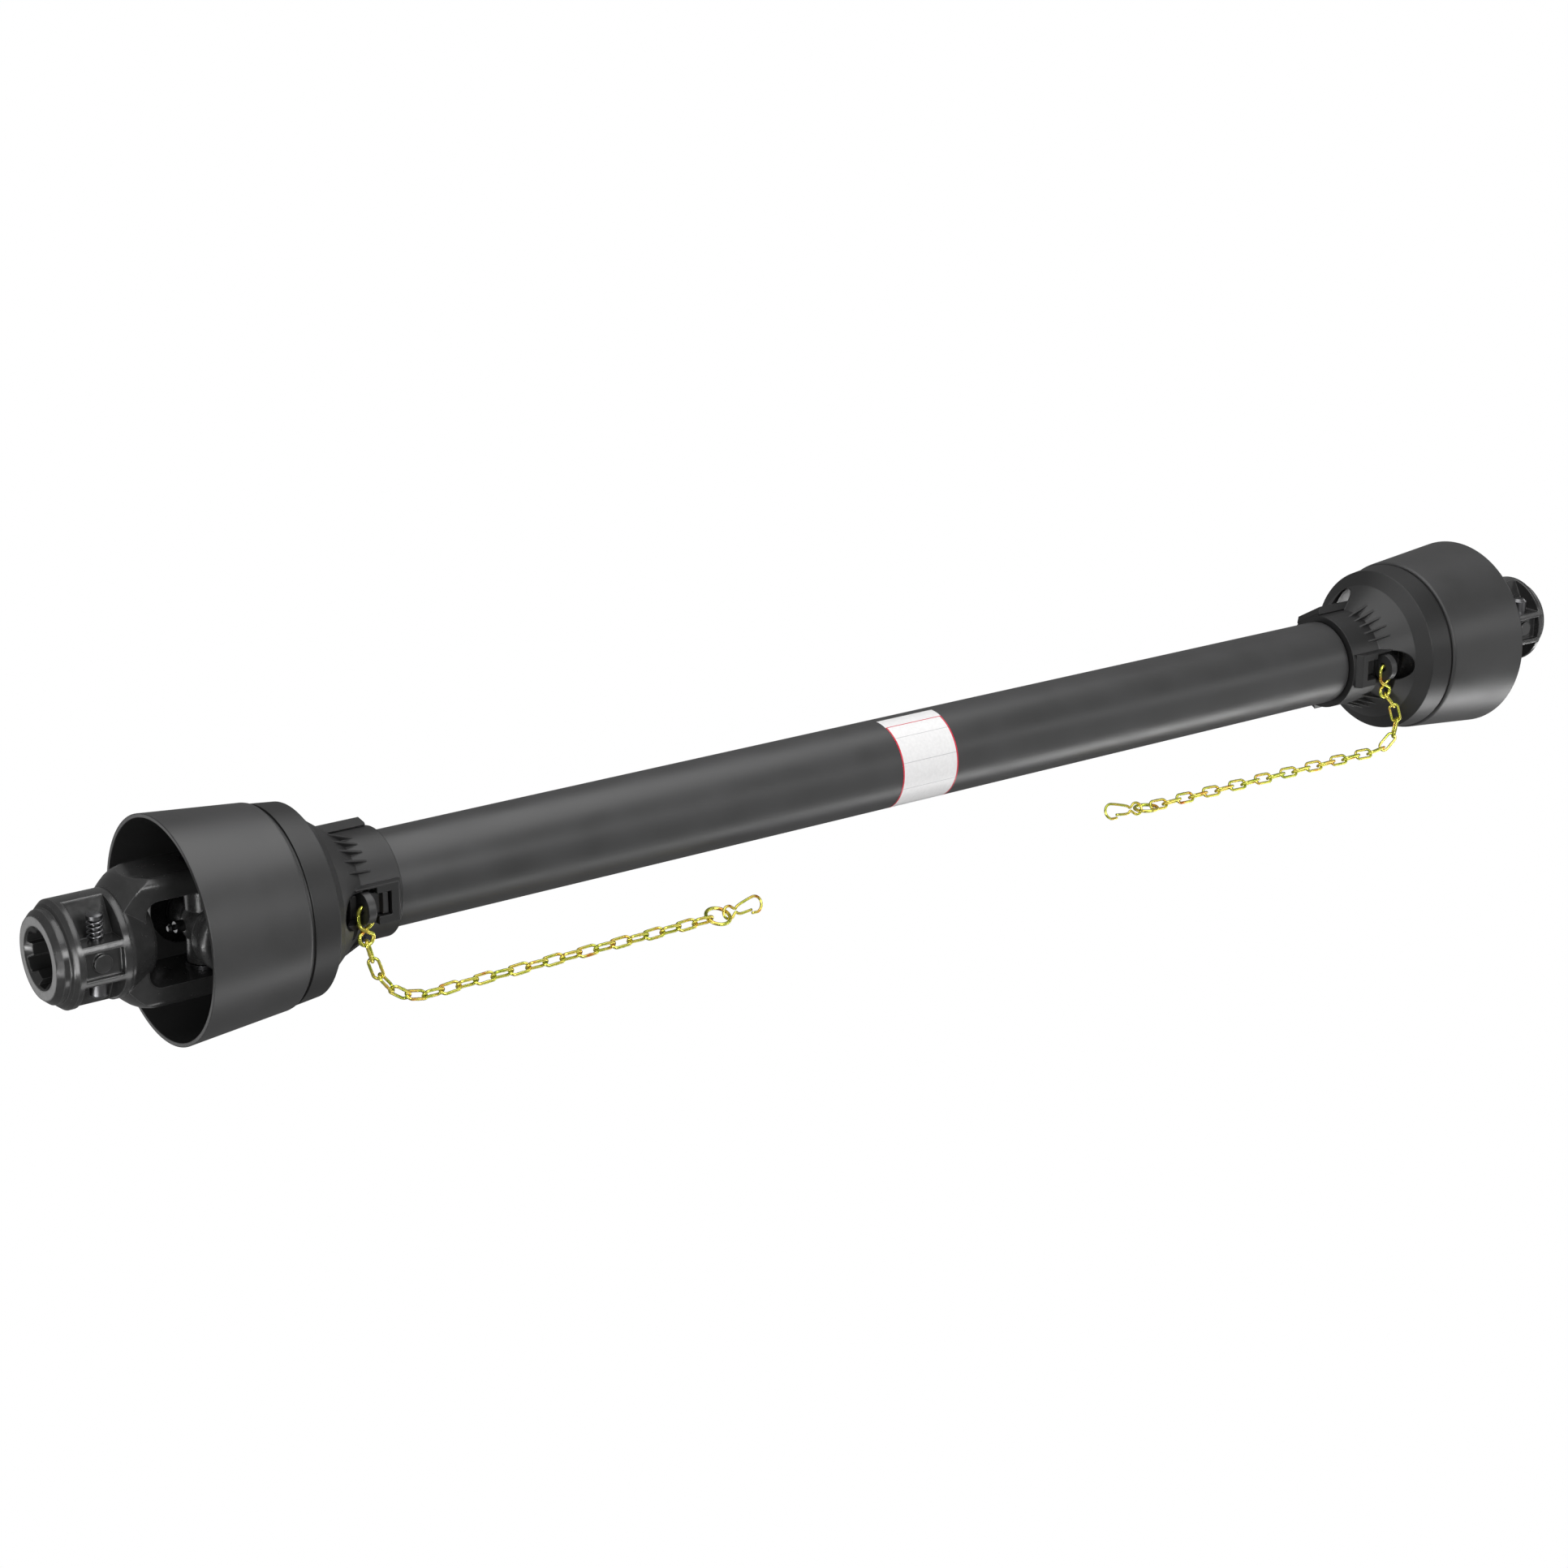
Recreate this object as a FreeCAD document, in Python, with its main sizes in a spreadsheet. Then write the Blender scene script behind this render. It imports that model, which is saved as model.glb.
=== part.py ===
import FreeCAD, Part
import math
import os
import Sketcher

# Telescopic drive shaft with two universal joints, splined quick-release yokes, a two-part
# plastic guard and two holding chains. Millimetres. +X runs along the shaft from the
# tractor end (left) to the implement end (right), +Z is up, +Y points away from the chains.
# The origin is on the floor below the middle of the shaft, which lies on its guard bells.

doc = FreeCAD.newDocument("pto_drive_shaft")
sheet = doc.addObject("Spreadsheet::Sheet", "Sizes")
doc.Label = "pto drive shaft"


class Size:
    """A length with its number and the expression that binds it to the spreadsheet."""

    def __init__(self, number, text):
        self.number = float(number)
        self.text = text

    def __add__(self, other):
        other = as_size(other)
        return Size(self.number + other.number, "(%s + %s)" % (self.text, other.text))

    def __sub__(self, other):
        other = as_size(other)
        return Size(self.number - other.number, "(%s - %s)" % (self.text, other.text))

    def __mul__(self, other):
        other = as_size(other)
        return Size(self.number * other.number, "(%s * %s)" % (self.text, other.text))

    def __truediv__(self, other):
        other = as_size(other)
        return Size(self.number / other.number, "(%s / %s)" % (self.text, other.text))

    def __neg__(self):
        return Size(-self.number, "(0 - %s)" % self.text)

    __radd__ = __add__
    __rmul__ = __mul__

    def __rsub__(self, other):
        return as_size(other) - self

    def __float__(self):
        return self.number


def as_size(value):
    return value if isinstance(value, Size) else Size(value, repr(float(value)))


def cell(alias, number, meaning):
    """One driving dimension: its meaning, its value and its name in the sheet."""
    cell.row += 1
    sheet.set("A%d" % cell.row, meaning)
    sheet.set("B%d" % cell.row, str(number))
    sheet.setAlias("B%d" % cell.row, alias)
    return Size(number, "Sizes." + alias)


cell.row = 0

# Whole shaft, telescoped right in
closed_length = cell("closed_length", 1200.0, "overall length between the yoke noses, closed")
nose_overhang = cell("nose_overhang", 73.0, "yoke nose beyond the bell mouth")
cross_inset = cell("cross_inset", 27.5, "centre of the cross inside the bell mouth")
running_gap = cell("running_gap", 0.05, "radial clearance of every running fit")
seat_gap = cell("seat_gap", 0.1, "clearance of pieces that seat on each other")
stop_gap = cell("stop_gap", 0.3, "clearance between a sliding piece and its stop")

# Guard bell, the wide skirt round each joint
bell_mouth_radius = cell("bell_mouth_radius", 67.2, "bell, outer radius at the mouth")
bell_end_radius = cell("bell_end_radius", 61.2, "bell, outer radius at the cone")
bell_length = cell("bell_length", 65.0, "bell, length")
bell_wall = cell("bell_wall", 2.4, "bell, wall")
bell_round = cell("bell_round", 2.2, "bell, rounding of the shoulder")

# Guard cone, which carries the bell and clips on the guard tube
cone_spigot = cell("cone_spigot", 7.0, "cone, spigot inside the bell")
cone_step = cell("cone_step", 1.8, "cone, gap between the bell and the band")
band_length = cell("band_length", 17.0, "cone, length of the band")
band_radius = cell("band_radius", 59.7, "cone, outer radius at the start of the band")
band_end_radius = cell("band_end_radius", 57.8, "cone, outer radius at the end of the band")
knee_length = cell("knee_length", 7.7, "cone, length of the knee behind the band")
knee_radius = cell("knee_radius", 48.5, "cone, outer radius behind the knee")
flank_length = cell("flank_length", 20.3, "cone, length of the flank")
neck_radius = cell("neck_radius", 33.3, "cone, outer radius of the neck")
neck_length = cell("neck_length", 26.4, "cone, length of the neck")
neck_lead = cell("neck_lead", 7.0, "cone, guard bearing to the start of the neck")
cone_wall = cell("cone_wall", 2.4, "cone, wall")
fin_count = 5
fin_pitch = cell("fin_pitch", 10.8, "cone, angle between two fins in degrees")
fin_middle = cell("fin_middle", 55.0, "cone, angle from the latch to the middle fin in degrees")
fin_thickness = cell("fin_thickness", 1.4, "cone, thickness of a fin")
fin_reach = cell("fin_reach", 9.0, "cone, reach of a fin on each side of the neck corner")

# Latches on the neck, one facing the chains and one each third of a turn
latch_count = 3
latch_width = cell("latch_width", 24.0, "latch bracket, width")
latch_height = cell("latch_height", 4.0, "latch bracket, height over the neck")
latch_window = cell("latch_window", 14.4, "latch window, width")
latch_window_length = cell("latch_window_length", 15.0, "latch window, length")
latch_land = cell("latch_land", 8.0, "latch bracket, land behind the window")
port_radius = cell("port_radius", 11.0, "round port in the cone in front of a latch")
port_overlap = cell("port_overlap", 5.5, "round port, reach past the start of the window")
notch_room = cell("notch_room", 2.0, "chain notch in the cone, room round the S-hook")

# Guard bearing, a split plastic ring that runs in a groove of the shaft yoke
ring_width = cell("ring_width", 8.8, "guard bearing, width")
ring_radius = cell("ring_radius", 30.5, "guard bearing, outer radius")
ring_slit = cell("ring_slit", 2.0, "guard bearing, slit that lets it snap on")
lug_radius = cell("lug_radius", 9.4, "chain lug, radius")
lug_distance = cell("lug_distance", 37.0, "chain lug, hole from the shaft axis")
lug_thickness = cell("lug_thickness", 5.0, "chain lug, thickness")
lug_hole_radius = cell("lug_hole_radius", 3.2, "chain lug, radius of the hole")
tongue_width = cell("tongue_width", 12.8, "snap tongue, width")
tongue_thickness = cell("tongue_thickness", 2.9, "snap tongue, thickness")
tab_length = cell("tab_length", 5.0, "snap tongue, length of the raised tab")
tab_height = cell("tab_height", 3.2, "snap tongue, height of the raised tab")

# Guard tubes
guard_tube_radius = cell("guard_tube_radius", 29.25, "outer guard tube, outer radius")
guard_tube_wall = cell("guard_tube_wall", 1.9, "guard tubes, wall")
guard_tube_gap = cell("guard_tube_gap", 2.3, "radial gap between the two guard tubes")
guard_tube_seat = cell("guard_tube_seat", 20.0, "guard tube, length inside the neck")
outer_tube_end_gap = cell("outer_tube_end_gap", 1.5, "outer guard tube to the far neck, closed")
inner_tube_end_gap = cell("inner_tube_end_gap", 60.0, "inner guard tube to the far neck, closed")

# Splined yoke: 1 3/8 inch six-spline bore
spline_major_radius = cell("spline_major_radius", 17.45, "spline bore, radius at the grooves")
spline_minor_radius = cell("spline_minor_radius", 14.83, "spline bore, radius at the lands")
spline_groove_width = cell("spline_groove_width", 8.7, "spline bore, width of a groove")
lead_rim = cell("lead_rim", 1.0, "spline bore, rim of the lead-in over the grooves")
spline_count = 6
nose_face_radius = cell("nose_face_radius", 24.0, "yoke nose, radius of the face")
nose_radius = cell("nose_radius", 27.0, "yoke nose, radius")
nose_chamfer = cell("nose_chamfer", 3.5, "yoke nose, length of the chamfer")
nose_length = cell("nose_length", 7.0, "yoke nose, length in front of the barrel")
barrel_radius = cell("barrel_radius", 31.5, "yoke barrel, radius")
barrel_length = cell("barrel_length", 36.0, "yoke barrel, length")
window_length = cell("window_length", 24.5, "yoke window, length along the shaft")
window_rim = cell("window_rim", 5.0, "yoke barrel, rim behind the windows")
window_edge = cell("window_edge", 4.5, "yoke window, upper edge of the back wall from the axis")
window_foot = cell("window_foot", 15.0, "yoke window, foot of the back wall from the axis")
window_floor = cell("window_floor", 11.7, "yoke window, floor from the middle plane")
window_top = cell("window_top", 31.0, "yoke window, height of the upper edge of the back wall")
pocket_depth = cell("pocket_depth", 26.6, "side pocket, floor from the axis")
pocket_width = cell("pocket_width", 16.4, "side pocket, width")
pocket_rim = cell("pocket_rim", 0.8, "side pocket, shorter than the windows at each end")
pocket_disc_radius = cell("pocket_disc_radius", 5.4, "round boss in the side pocket, radius")
pocket_disc_height = cell("pocket_disc_height", 2.2, "round boss in the side pocket, height")

# Fork of both yokes
ear_inner = cell("ear_inner", 25.5, "fork, inner face of an ear from the axis")
ear_outer = cell("ear_outer", 38.5, "fork, outer face of an ear from the axis")
ear_radius = cell("ear_radius", 20.5, "fork, radius of an ear round the trunnion")
arm_round = cell("arm_round", 6.0, "fork, rounding of the outer edges")
crown_radius = cell("crown_radius", 42.0, "fork, radius of the turned outside")
crotch_depth = cell("crotch_depth", 44.5, "fork, cross centre to the bottom of the gap")
crotch_round = cell("crotch_round", 8.0, "fork, rounding of the bottom of the gap")
crown_length = cell("crown_length", 22.0, "fork, length over which the arms flare")
boss_depth = cell("boss_depth", 39.5, "fork, cross centre to the boss in the gap")
boss_radius = cell("boss_radius", 22.0, "fork, radius of the boss in the gap")
root_depth = cell("root_depth", 59.0, "fork, cross centre to the root of the arms")

# Shaft yoke, pinned on a profile tube
shaft_hub_radius = cell("shaft_hub_radius", 27.0, "shaft yoke hub, radius")
groove_radius = cell("groove_radius", 21.0, "shaft yoke, radius of the bearing groove")
groove_start = cell("groove_start", 77.0, "shaft yoke, cross centre to the bearing groove")
groove_width = cell("groove_width", 9.4, "shaft yoke, width of the bearing groove")
collar_radius = cell("collar_radius", 24.0, "shaft yoke, radius of the end collar")
collar_length = cell("collar_length", 4.0, "shaft yoke, length of the end collar")
pin_radius = cell("pin_radius", 5.0, "spring pin, radius")
pin_wall = cell("pin_wall", 1.6, "spring pin, wall")
pin_slot = cell("pin_slot", 1.5, "spring pin, slot")
pin_depth = cell("pin_depth", 69.0, "spring pin, from the cross centre")

# Profile tubes, three-lobed, one inside the other
profile_corner = cell("profile_corner", 25.5, "outer profile tube, corner of the sharp triangle")
profile_round = cell("profile_round", 6.25, "outer profile tube, rounding of the lobes")
outer_profile_wall = cell("outer_profile_wall", 2.6, "outer profile tube, wall")
inner_profile_wall = cell("inner_profile_wall", 2.9, "inner profile tube, wall")
profile_gap = cell("profile_gap", 0.25, "sliding gap between the profile tubes")
profile_inset = cell("profile_inset", 62.0, "profile tube end from the cross centre")
outer_profile_end_gap = cell("outer_profile_end_gap", 19.0, "outer profile tube to the far yoke")
inner_profile_end_gap = cell("inner_profile_end_gap", 33.0, "inner profile tube to the far yoke pin")

# Cross, its cups, seals and rings
trunnion_radius = cell("trunnion_radius", 7.6, "cross, radius of a trunnion")
shoulder_radius = cell("shoulder_radius", 10.5, "cross, radius of a shoulder")
shoulder_reach = cell("shoulder_reach", 20.0, "cross, centre to a shoulder")
hub_ball_radius = cell("hub_ball_radius", 13.5, "cross, radius of the middle")
seal_width = cell("seal_width", 3.0, "seal, width")
cup_radius = cell("cup_radius", 11.5, "bearing cup, outer radius")
cup_floor = cell("cup_floor", 2.0, "bearing cup, floor")
circlip_thickness = cell("circlip_thickness", 1.3, "circlip, thickness")
circlip_bite = cell("circlip_bite", 1.1, "circlip, depth in the ear")
circlip_cover = cell("circlip_cover", 0.6, "ear beyond the circlip")
nipple_length = cell("nipple_length", 9.0, "grease nipple, length over the cross")

# Quick-release lock pin and its spring
lock_place = cell("lock_place", 17.4, "lock pin, axis from the end of the barrel")
lock_offset = cell("lock_offset", 20.3, "lock pin, axis from the shaft axis")
lock_radius = cell("lock_radius", 5.3, "lock pin, radius of the body")
lock_stem_radius = cell("lock_stem_radius", 2.8, "lock pin, radius of the stem")
lock_tail = cell("lock_tail", 22.0, "lock pin, tail from the middle plane")
lock_shoulder = cell("lock_shoulder", 1.5, "lock pin, shoulder below the middle plane")
lock_head_radius = cell("lock_head_radius", 4.7, "lock pin, radius of the head")
lock_head_top = cell("lock_head_top", 27.6, "lock pin, top of the head from the middle plane")
lock_head_height = cell("lock_head_height", 3.4, "lock pin, height of the head")
spring_wire = cell("spring_wire", 1.2, "lock spring, wire thickness")
spring_radius = cell("spring_radius", 4.3, "lock spring, radius of the coil")
spring_turns = 4

# Holding chains
chain_wire = cell("chain_wire", 1.9, "chain link, wire")
link_width = cell("link_width", 8.0, "chain link, outer width")
link_length = cell("link_length", 16.25, "chain link, outer length")
link_play = cell("link_play", 0.2, "play between two links")
link_lean = cell("link_lean", 35.0, "lean of the links on the floor in degrees")
hook_wire = cell("hook_wire", 2.4, "S-hook, wire")
hook_bend = cell("hook_bend", 4.6, "S-hook, radius of the bends")
hook_seat = cell("hook_seat", 3.2, "S-hook, lug hole to the centre of the upper bend")
hook_drop = cell("hook_drop", 18.0, "S-hook, lug hole to the centre of the lower bend")
ring_play = cell("ring_play", 0.9, "play of the end ring, the S-hook and the snap hook on their neighbours")
end_ring_radius = cell("end_ring_radius", 7.8, "end ring, radius of its wire centre")
end_ring_wire = cell("end_ring_wire", 2.3, "end ring, wire")
snap_wire = cell("snap_wire", 1.8, "snap hook, wire")
snap_length = cell("snap_length", 31.0, "snap hook, length")
snap_width = cell("snap_width", 12.0, "snap hook, width at the wide end")
snap_eye = cell("snap_eye", 4.0, "snap hook, radius of the eye")
snap_lean = cell("snap_lean", 68.0, "snap hook, lean of its flat side in degrees")

# Places along the shaft, worked out from the sizes above, from the mouth plane inwards
mouth_place = closed_length / 2 - nose_overhang
cross_place = mouth_place - cross_inset
groove_place = cross_inset + groove_start
ring_place = groove_place + stop_gap
ring_end = ring_place + ring_width
neck_start = ring_place + neck_lead
neck_end = neck_start + neck_length
knee_end = neck_start - flank_length
band_end = knee_end - knee_length
band_start = band_end - band_length
bell_end = band_start - cone_step
bell_start = bell_end - bell_length
window_start = ring_end - stop_gap
window_end = window_start + latch_window_length
tube_start = neck_end - guard_tube_seat
inner_guard_radius = guard_tube_radius - guard_tube_wall - guard_tube_gap

parts = []


# Building blocks
def add(kind, name):
    return doc.addObject(kind, name)


def bind(item, prop, size):
    size = as_size(size)
    if size.text.startswith("Sizes") or "Sizes" in size.text:
        item.setExpression(prop, size.text)
    else:
        setattr(item, prop, size.number)


def put(item, base, rotation=None):
    """Sets an object's place; each coordinate follows its own expression."""
    base = [as_size(value) for value in base]
    rotation = rotation or FreeCAD.Rotation()
    item.Placement = FreeCAD.Placement(FreeCAD.Vector(*[value.number for value in base]), rotation)
    for letter, value in zip("xyz", base):
        if "Sizes" in value.text:
            item.setExpression("Placement.Base." + letter, value.text)
    return item


def box(x_range, y_range, z_range):
    item = add("Part::Box", "Block")
    for prop, limits in zip(("Length", "Width", "Height"), (x_range, y_range, z_range)):
        bind(item, prop, as_size(limits[1]) - limits[0])
    return put(item, [limits[0] for limits in (x_range, y_range, z_range)])


TURN = {
    "x": FreeCAD.Rotation(FreeCAD.Vector(0, 1, 0), 90),
    "y": FreeCAD.Rotation(FreeCAD.Vector(1, 0, 0), -90),
    "z": FreeCAD.Rotation(),
}


def rod(radius, length, base, along):
    """A cylinder that starts at base and runs along the named axis."""
    item = add("Part::Cylinder", "Rod")
    bind(item, "Radius", radius)
    bind(item, "Height", length)
    return put(item, base, TURN[along])


def taper(radius_start, radius_end, length, base, along):
    item = add("Part::Cone", "Taper")
    bind(item, "Radius1", radius_start)
    bind(item, "Radius2", radius_end)
    bind(item, "Height", length)
    return put(item, base, TURN[along])


def ball(radius, base):
    item = add("Part::Sphere", "Ball")
    bind(item, "Radius", radius)
    return put(item, base)


def fuse(*items):
    item = add("Part::MultiFuse", "Joined")
    item.Shapes = list(items)
    item.Refine = True
    return item


def common(first, second):
    item = add("Part::MultiCommon", "Shared")
    item.Shapes = [first, second]
    return item


def cut(base, *tools):
    item = add("Part::Cut", "Trimmed")
    item.Base = base
    item.Tool = tools[0] if len(tools) == 1 else fuse(*tools)
    item.Refine = True
    return item


def outline(sketch, points):
    """A closed outline whose corners are each held by two bound distances."""
    points = [(as_size(a), as_size(b)) for a, b in points]
    first = sketch.GeometryCount
    corners = [FreeCAD.Vector(a.number, b.number, 0) for a, b in points]
    for index, corner in enumerate(corners):
        sketch.addGeometry(Part.LineSegment(corner, corners[(index + 1) % len(corners)]), False)
    for index in range(len(points)):
        after = first + (index + 1) % len(points)
        sketch.addConstraint(Sketcher.Constraint("Coincident", first + index, 2, after, 1))
    for index, pair in enumerate(points):
        for kind, size in zip(("DistanceX", "DistanceY"), pair):
            number = sketch.addConstraint(
                Sketcher.Constraint(kind, first + index, 1, size.number))
            if "Sizes" in size.text:
                sketch.setExpression("Constraints[%d]" % number, size.text)


def body_sketch(body, role):
    sketch = body.newObject("Sketcher::SketchObject", "Outline")
    plane = [item for item in body.Origin.OriginFeatures if item.Role == role][0]
    sketch.AttachmentSupport = [(plane, "")]
    sketch.MapMode = "FlatFace"
    return sketch


def turned(points):
    """A body turned about the X axis from an outline of (place, radius) corners."""
    body = add("PartDesign::Body", "Turned")
    sketch = body_sketch(body, "XY_Plane")
    outline(sketch, points)
    turn = body.newObject("PartDesign::Revolution", "Revolution")
    turn.Profile = sketch
    turn.ReferenceAxis = (sketch, ["H_Axis"])
    turn.Angle = 360
    sketch.Visibility = False
    body.Tip = turn
    return body


def plate(role, points, thickness):
    """A body padded from an outline, half its thickness to each side of the plane."""
    body = add("PartDesign::Body", "Plate")
    sketch = body_sketch(body, role)
    outline(sketch, points)
    pad = body.newObject("PartDesign::Pad", "Pad")
    pad.Profile = sketch
    bind(pad, "Length", thickness)
    pad.Midplane = True
    sketch.Visibility = False
    body.Tip = pad
    return body


def around(item, angle):
    """The same object again, turned about the X axis."""
    copy = add("Part::Compound", "Turned_copy")
    copy.Links = [item]
    rotation = FreeCAD.Rotation(FreeCAD.Vector(1, 0, 0), angle)
    copy.Placement = FreeCAD.Placement(FreeCAD.Vector(), rotation)
    return copy


def triangle_bar(corner, rounding, length, start, angle):
    """A three-sided bar along X with rounded corners, turned about X by the angle."""
    prism = add("Part::Prism", "Triangle")
    prism.Polygon = 3
    bind(prism, "Circumradius", corner)
    bind(prism, "Height", length)
    prism.recompute()
    bar = add("Part::Fillet", "Rounded_triangle")
    bar.Base = prism
    edges = []
    for number, edge in enumerate(prism.Shape.Edges, 1):
        ends = [vertex.Point for vertex in edge.Vertexes]
        if abs(ends[0].z - ends[1].z) > as_size(length).number / 2:
            edges.append((number, as_size(rounding).number, as_size(rounding).number))
    bar.Edges = edges
    return around(put(bar, (start, 0, 0), TURN["x"]), angle)


def keep(item, name, side=None, place=0, rotation=None):
    """Names a finished sub-part and puts it in the shaft's frame.

    side is "left" or "right"; place is the sub-part's own origin along the shaft, from the
    middle. The right end is the left end turned half round about the Y axis."""
    item.Label = name
    base_x = -as_size(place) if side == "left" else as_size(place)
    turn = FreeCAD.Rotation(FreeCAD.Vector(0, 1, 0), 180) if side == "right" else FreeCAD.Rotation()
    put(item, (base_x, 0, bell_mouth_radius), turn.multiply(rotation or FreeCAD.Rotation()))
    parts.append(item)


# Guard
def guard_bell(side):
    inner_mouth = bell_mouth_radius - bell_wall
    inner_end = bell_end_radius - bell_wall
    bell = turned([
        (bell_start, inner_mouth),
        (bell_start, bell_mouth_radius),
        (bell_end - bell_round, bell_end_radius),
        (bell_end - bell_round * 0.5, bell_end_radius - bell_round * 0.13),
        (bell_end - bell_round * 0.13, bell_end_radius - bell_round * 0.5),
        (bell_end, bell_end_radius - bell_round),
        (bell_end, inner_end),
    ])
    keep(bell, "guard_bell_" + side, side, mouth_place)


def latch_angles():
    """The latch that faces the chains is at 180 degrees from +Y."""
    return [180 + 360 * index / latch_count for index in range(latch_count)]


def guard_cone(side, neck_bore):
    bell_slope = (bell_mouth_radius - bell_end_radius) / bell_length
    spigot_start = bell_end - cone_spigot
    spigot_radius = bell_end_radius - bell_wall - seat_gap
    spigot_root = spigot_radius + bell_slope * cone_spigot
    shell = turned([
        (spigot_start, spigot_root - cone_wall),
        (spigot_start, spigot_root),
        (bell_end, spigot_radius),
        (band_start, spigot_radius),
        (band_start, band_radius),
        (band_end, band_end_radius),
        (knee_end, knee_radius),
        (neck_start, neck_radius),
        (neck_end, neck_radius),
        (neck_end, neck_bore),
        (ring_end + stop_gap, neck_bore),
        (ring_end + stop_gap, ring_radius + seat_gap),
        (ring_place, ring_radius + seat_gap),
        (knee_end - 1.0, knee_radius - cone_wall),
        (band_end - 1.4, band_end_radius - cone_wall),
        (bell_end, spigot_radius - cone_wall),
    ])
    top = neck_radius + latch_height
    bracket_end = window_end + latch_land
    bracket_root = neck_radius - 1.5
    bracket = plate("XY_Plane", [
        (ring_place, bracket_root),
        (ring_place, top),
        (bracket_end - 3.0, top),
        (bracket_end, neck_radius),
        (bracket_end, bracket_root),
    ], latch_width)
    fin = plate("XY_Plane", [
        (neck_start - fin_reach, neck_radius + 0.2),
        (neck_start - fin_reach, neck_radius + fin_reach * 0.75),
        (neck_start + fin_reach, neck_radius - 0.2),
        (neck_start + 1.0, neck_radius - 1.0),
    ], fin_thickness)
    solids = [shell]
    tools = []
    for angle in latch_angles():
        solids.append(around(bracket, angle))
        lean = fin_middle.number if side == "left" else -fin_middle.number
        for number in range(fin_count):
            offset = (number - (fin_count - 1) / 2) * fin_pitch.number
            solids.append(around(fin, angle - lean + offset))
        window = box((window_start, window_end), (neck_bore - 1.0, neck_radius + 2 * latch_height),
                     (-latch_window / 2, latch_window / 2))
        port = rod(port_radius, window_start + port_overlap - band_end, (band_end, lug_distance, 0), "x")
        tools.append(around(window, angle))
        tools.append(around(port, angle))
    hook_half = hook_bend + hook_wire + notch_room
    hole_place = ring_end - lug_thickness / 2 - stop_gap
    notch = box((hole_place - hook_half, hole_place + hook_half), (neck_radius, lug_distance + hook_drop),
                (0, hook_drop) if side == "left" else (-hook_drop, 0))
    tools.append(around(notch, 180))
    cone = cut(fuse(*solids), *tools)
    keep(cone, "guard_cone_" + side, side, mouth_place)


def guard_bearing(side, tube_radius):
    inner = groove_radius + running_gap
    ring = turned([
        (ring_place, inner),
        (ring_place, ring_radius),
        (ring_end, ring_radius),
        (ring_end, inner),
    ])
    lug = rod(lug_radius, lug_thickness, (ring_end - lug_thickness - stop_gap, -lug_distance, 0), "x")
    web = box((ring_end - lug_thickness - stop_gap, ring_end - stop_gap),
              (-lug_distance, -ring_radius + 1.0), (-tongue_width / 2, tongue_width / 2))
    hole = rod(lug_hole_radius, ring_width, (ring_place, -lug_distance, 0), "x")
    tongue_low = tube_radius + stop_gap
    tongue_top = tongue_low + tongue_thickness
    tongue_end = window_end - stop_gap * 3
    tongue = plate("XY_Plane", [
        (ring_place + 1.0, tongue_low),
        (ring_place + 1.0, ring_radius),
        (ring_end - 1.0, tongue_top),
        (tongue_end - tab_length, tongue_top),
        (tongue_end - tab_length + 0.8, tongue_top + tab_height),
        (tongue_end - 0.8, tongue_top + tab_height),
        (tongue_end, tongue_top),
        (tongue_end, tongue_low),
    ], tongue_width)
    slit = box((ring_place - 1.0, ring_end + 1.0), (groove_radius - 1.0, ring_radius + 1.0),
               (-ring_slit / 2, ring_slit / 2))
    tongues = [around(tongue, angle) for angle in latch_angles()]
    bearing = cut(fuse(ring, lug, web, *tongues), hole, slit)
    keep(bearing, "guard_bearing_" + side, side, mouth_place)


def tube(outer_radius, wall, length):
    return turned([
        (0, outer_radius - wall),
        (0, outer_radius),
        (length, outer_radius),
        (length, outer_radius - wall),
    ])


def guard_tubes():
    far_neck = 2 * mouth_place - neck_end
    outer_length = far_neck - outer_tube_end_gap - tube_start
    keep(tube(guard_tube_radius, guard_tube_wall, outer_length),
         "outer_guard_tube", "left", mouth_place - tube_start)
    inner_length = 2 * mouth_place - neck_end - inner_tube_end_gap - tube_start
    keep(tube(inner_guard_radius, guard_tube_wall, inner_length),
         "inner_guard_tube", "right", mouth_place - tube_start)


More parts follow.
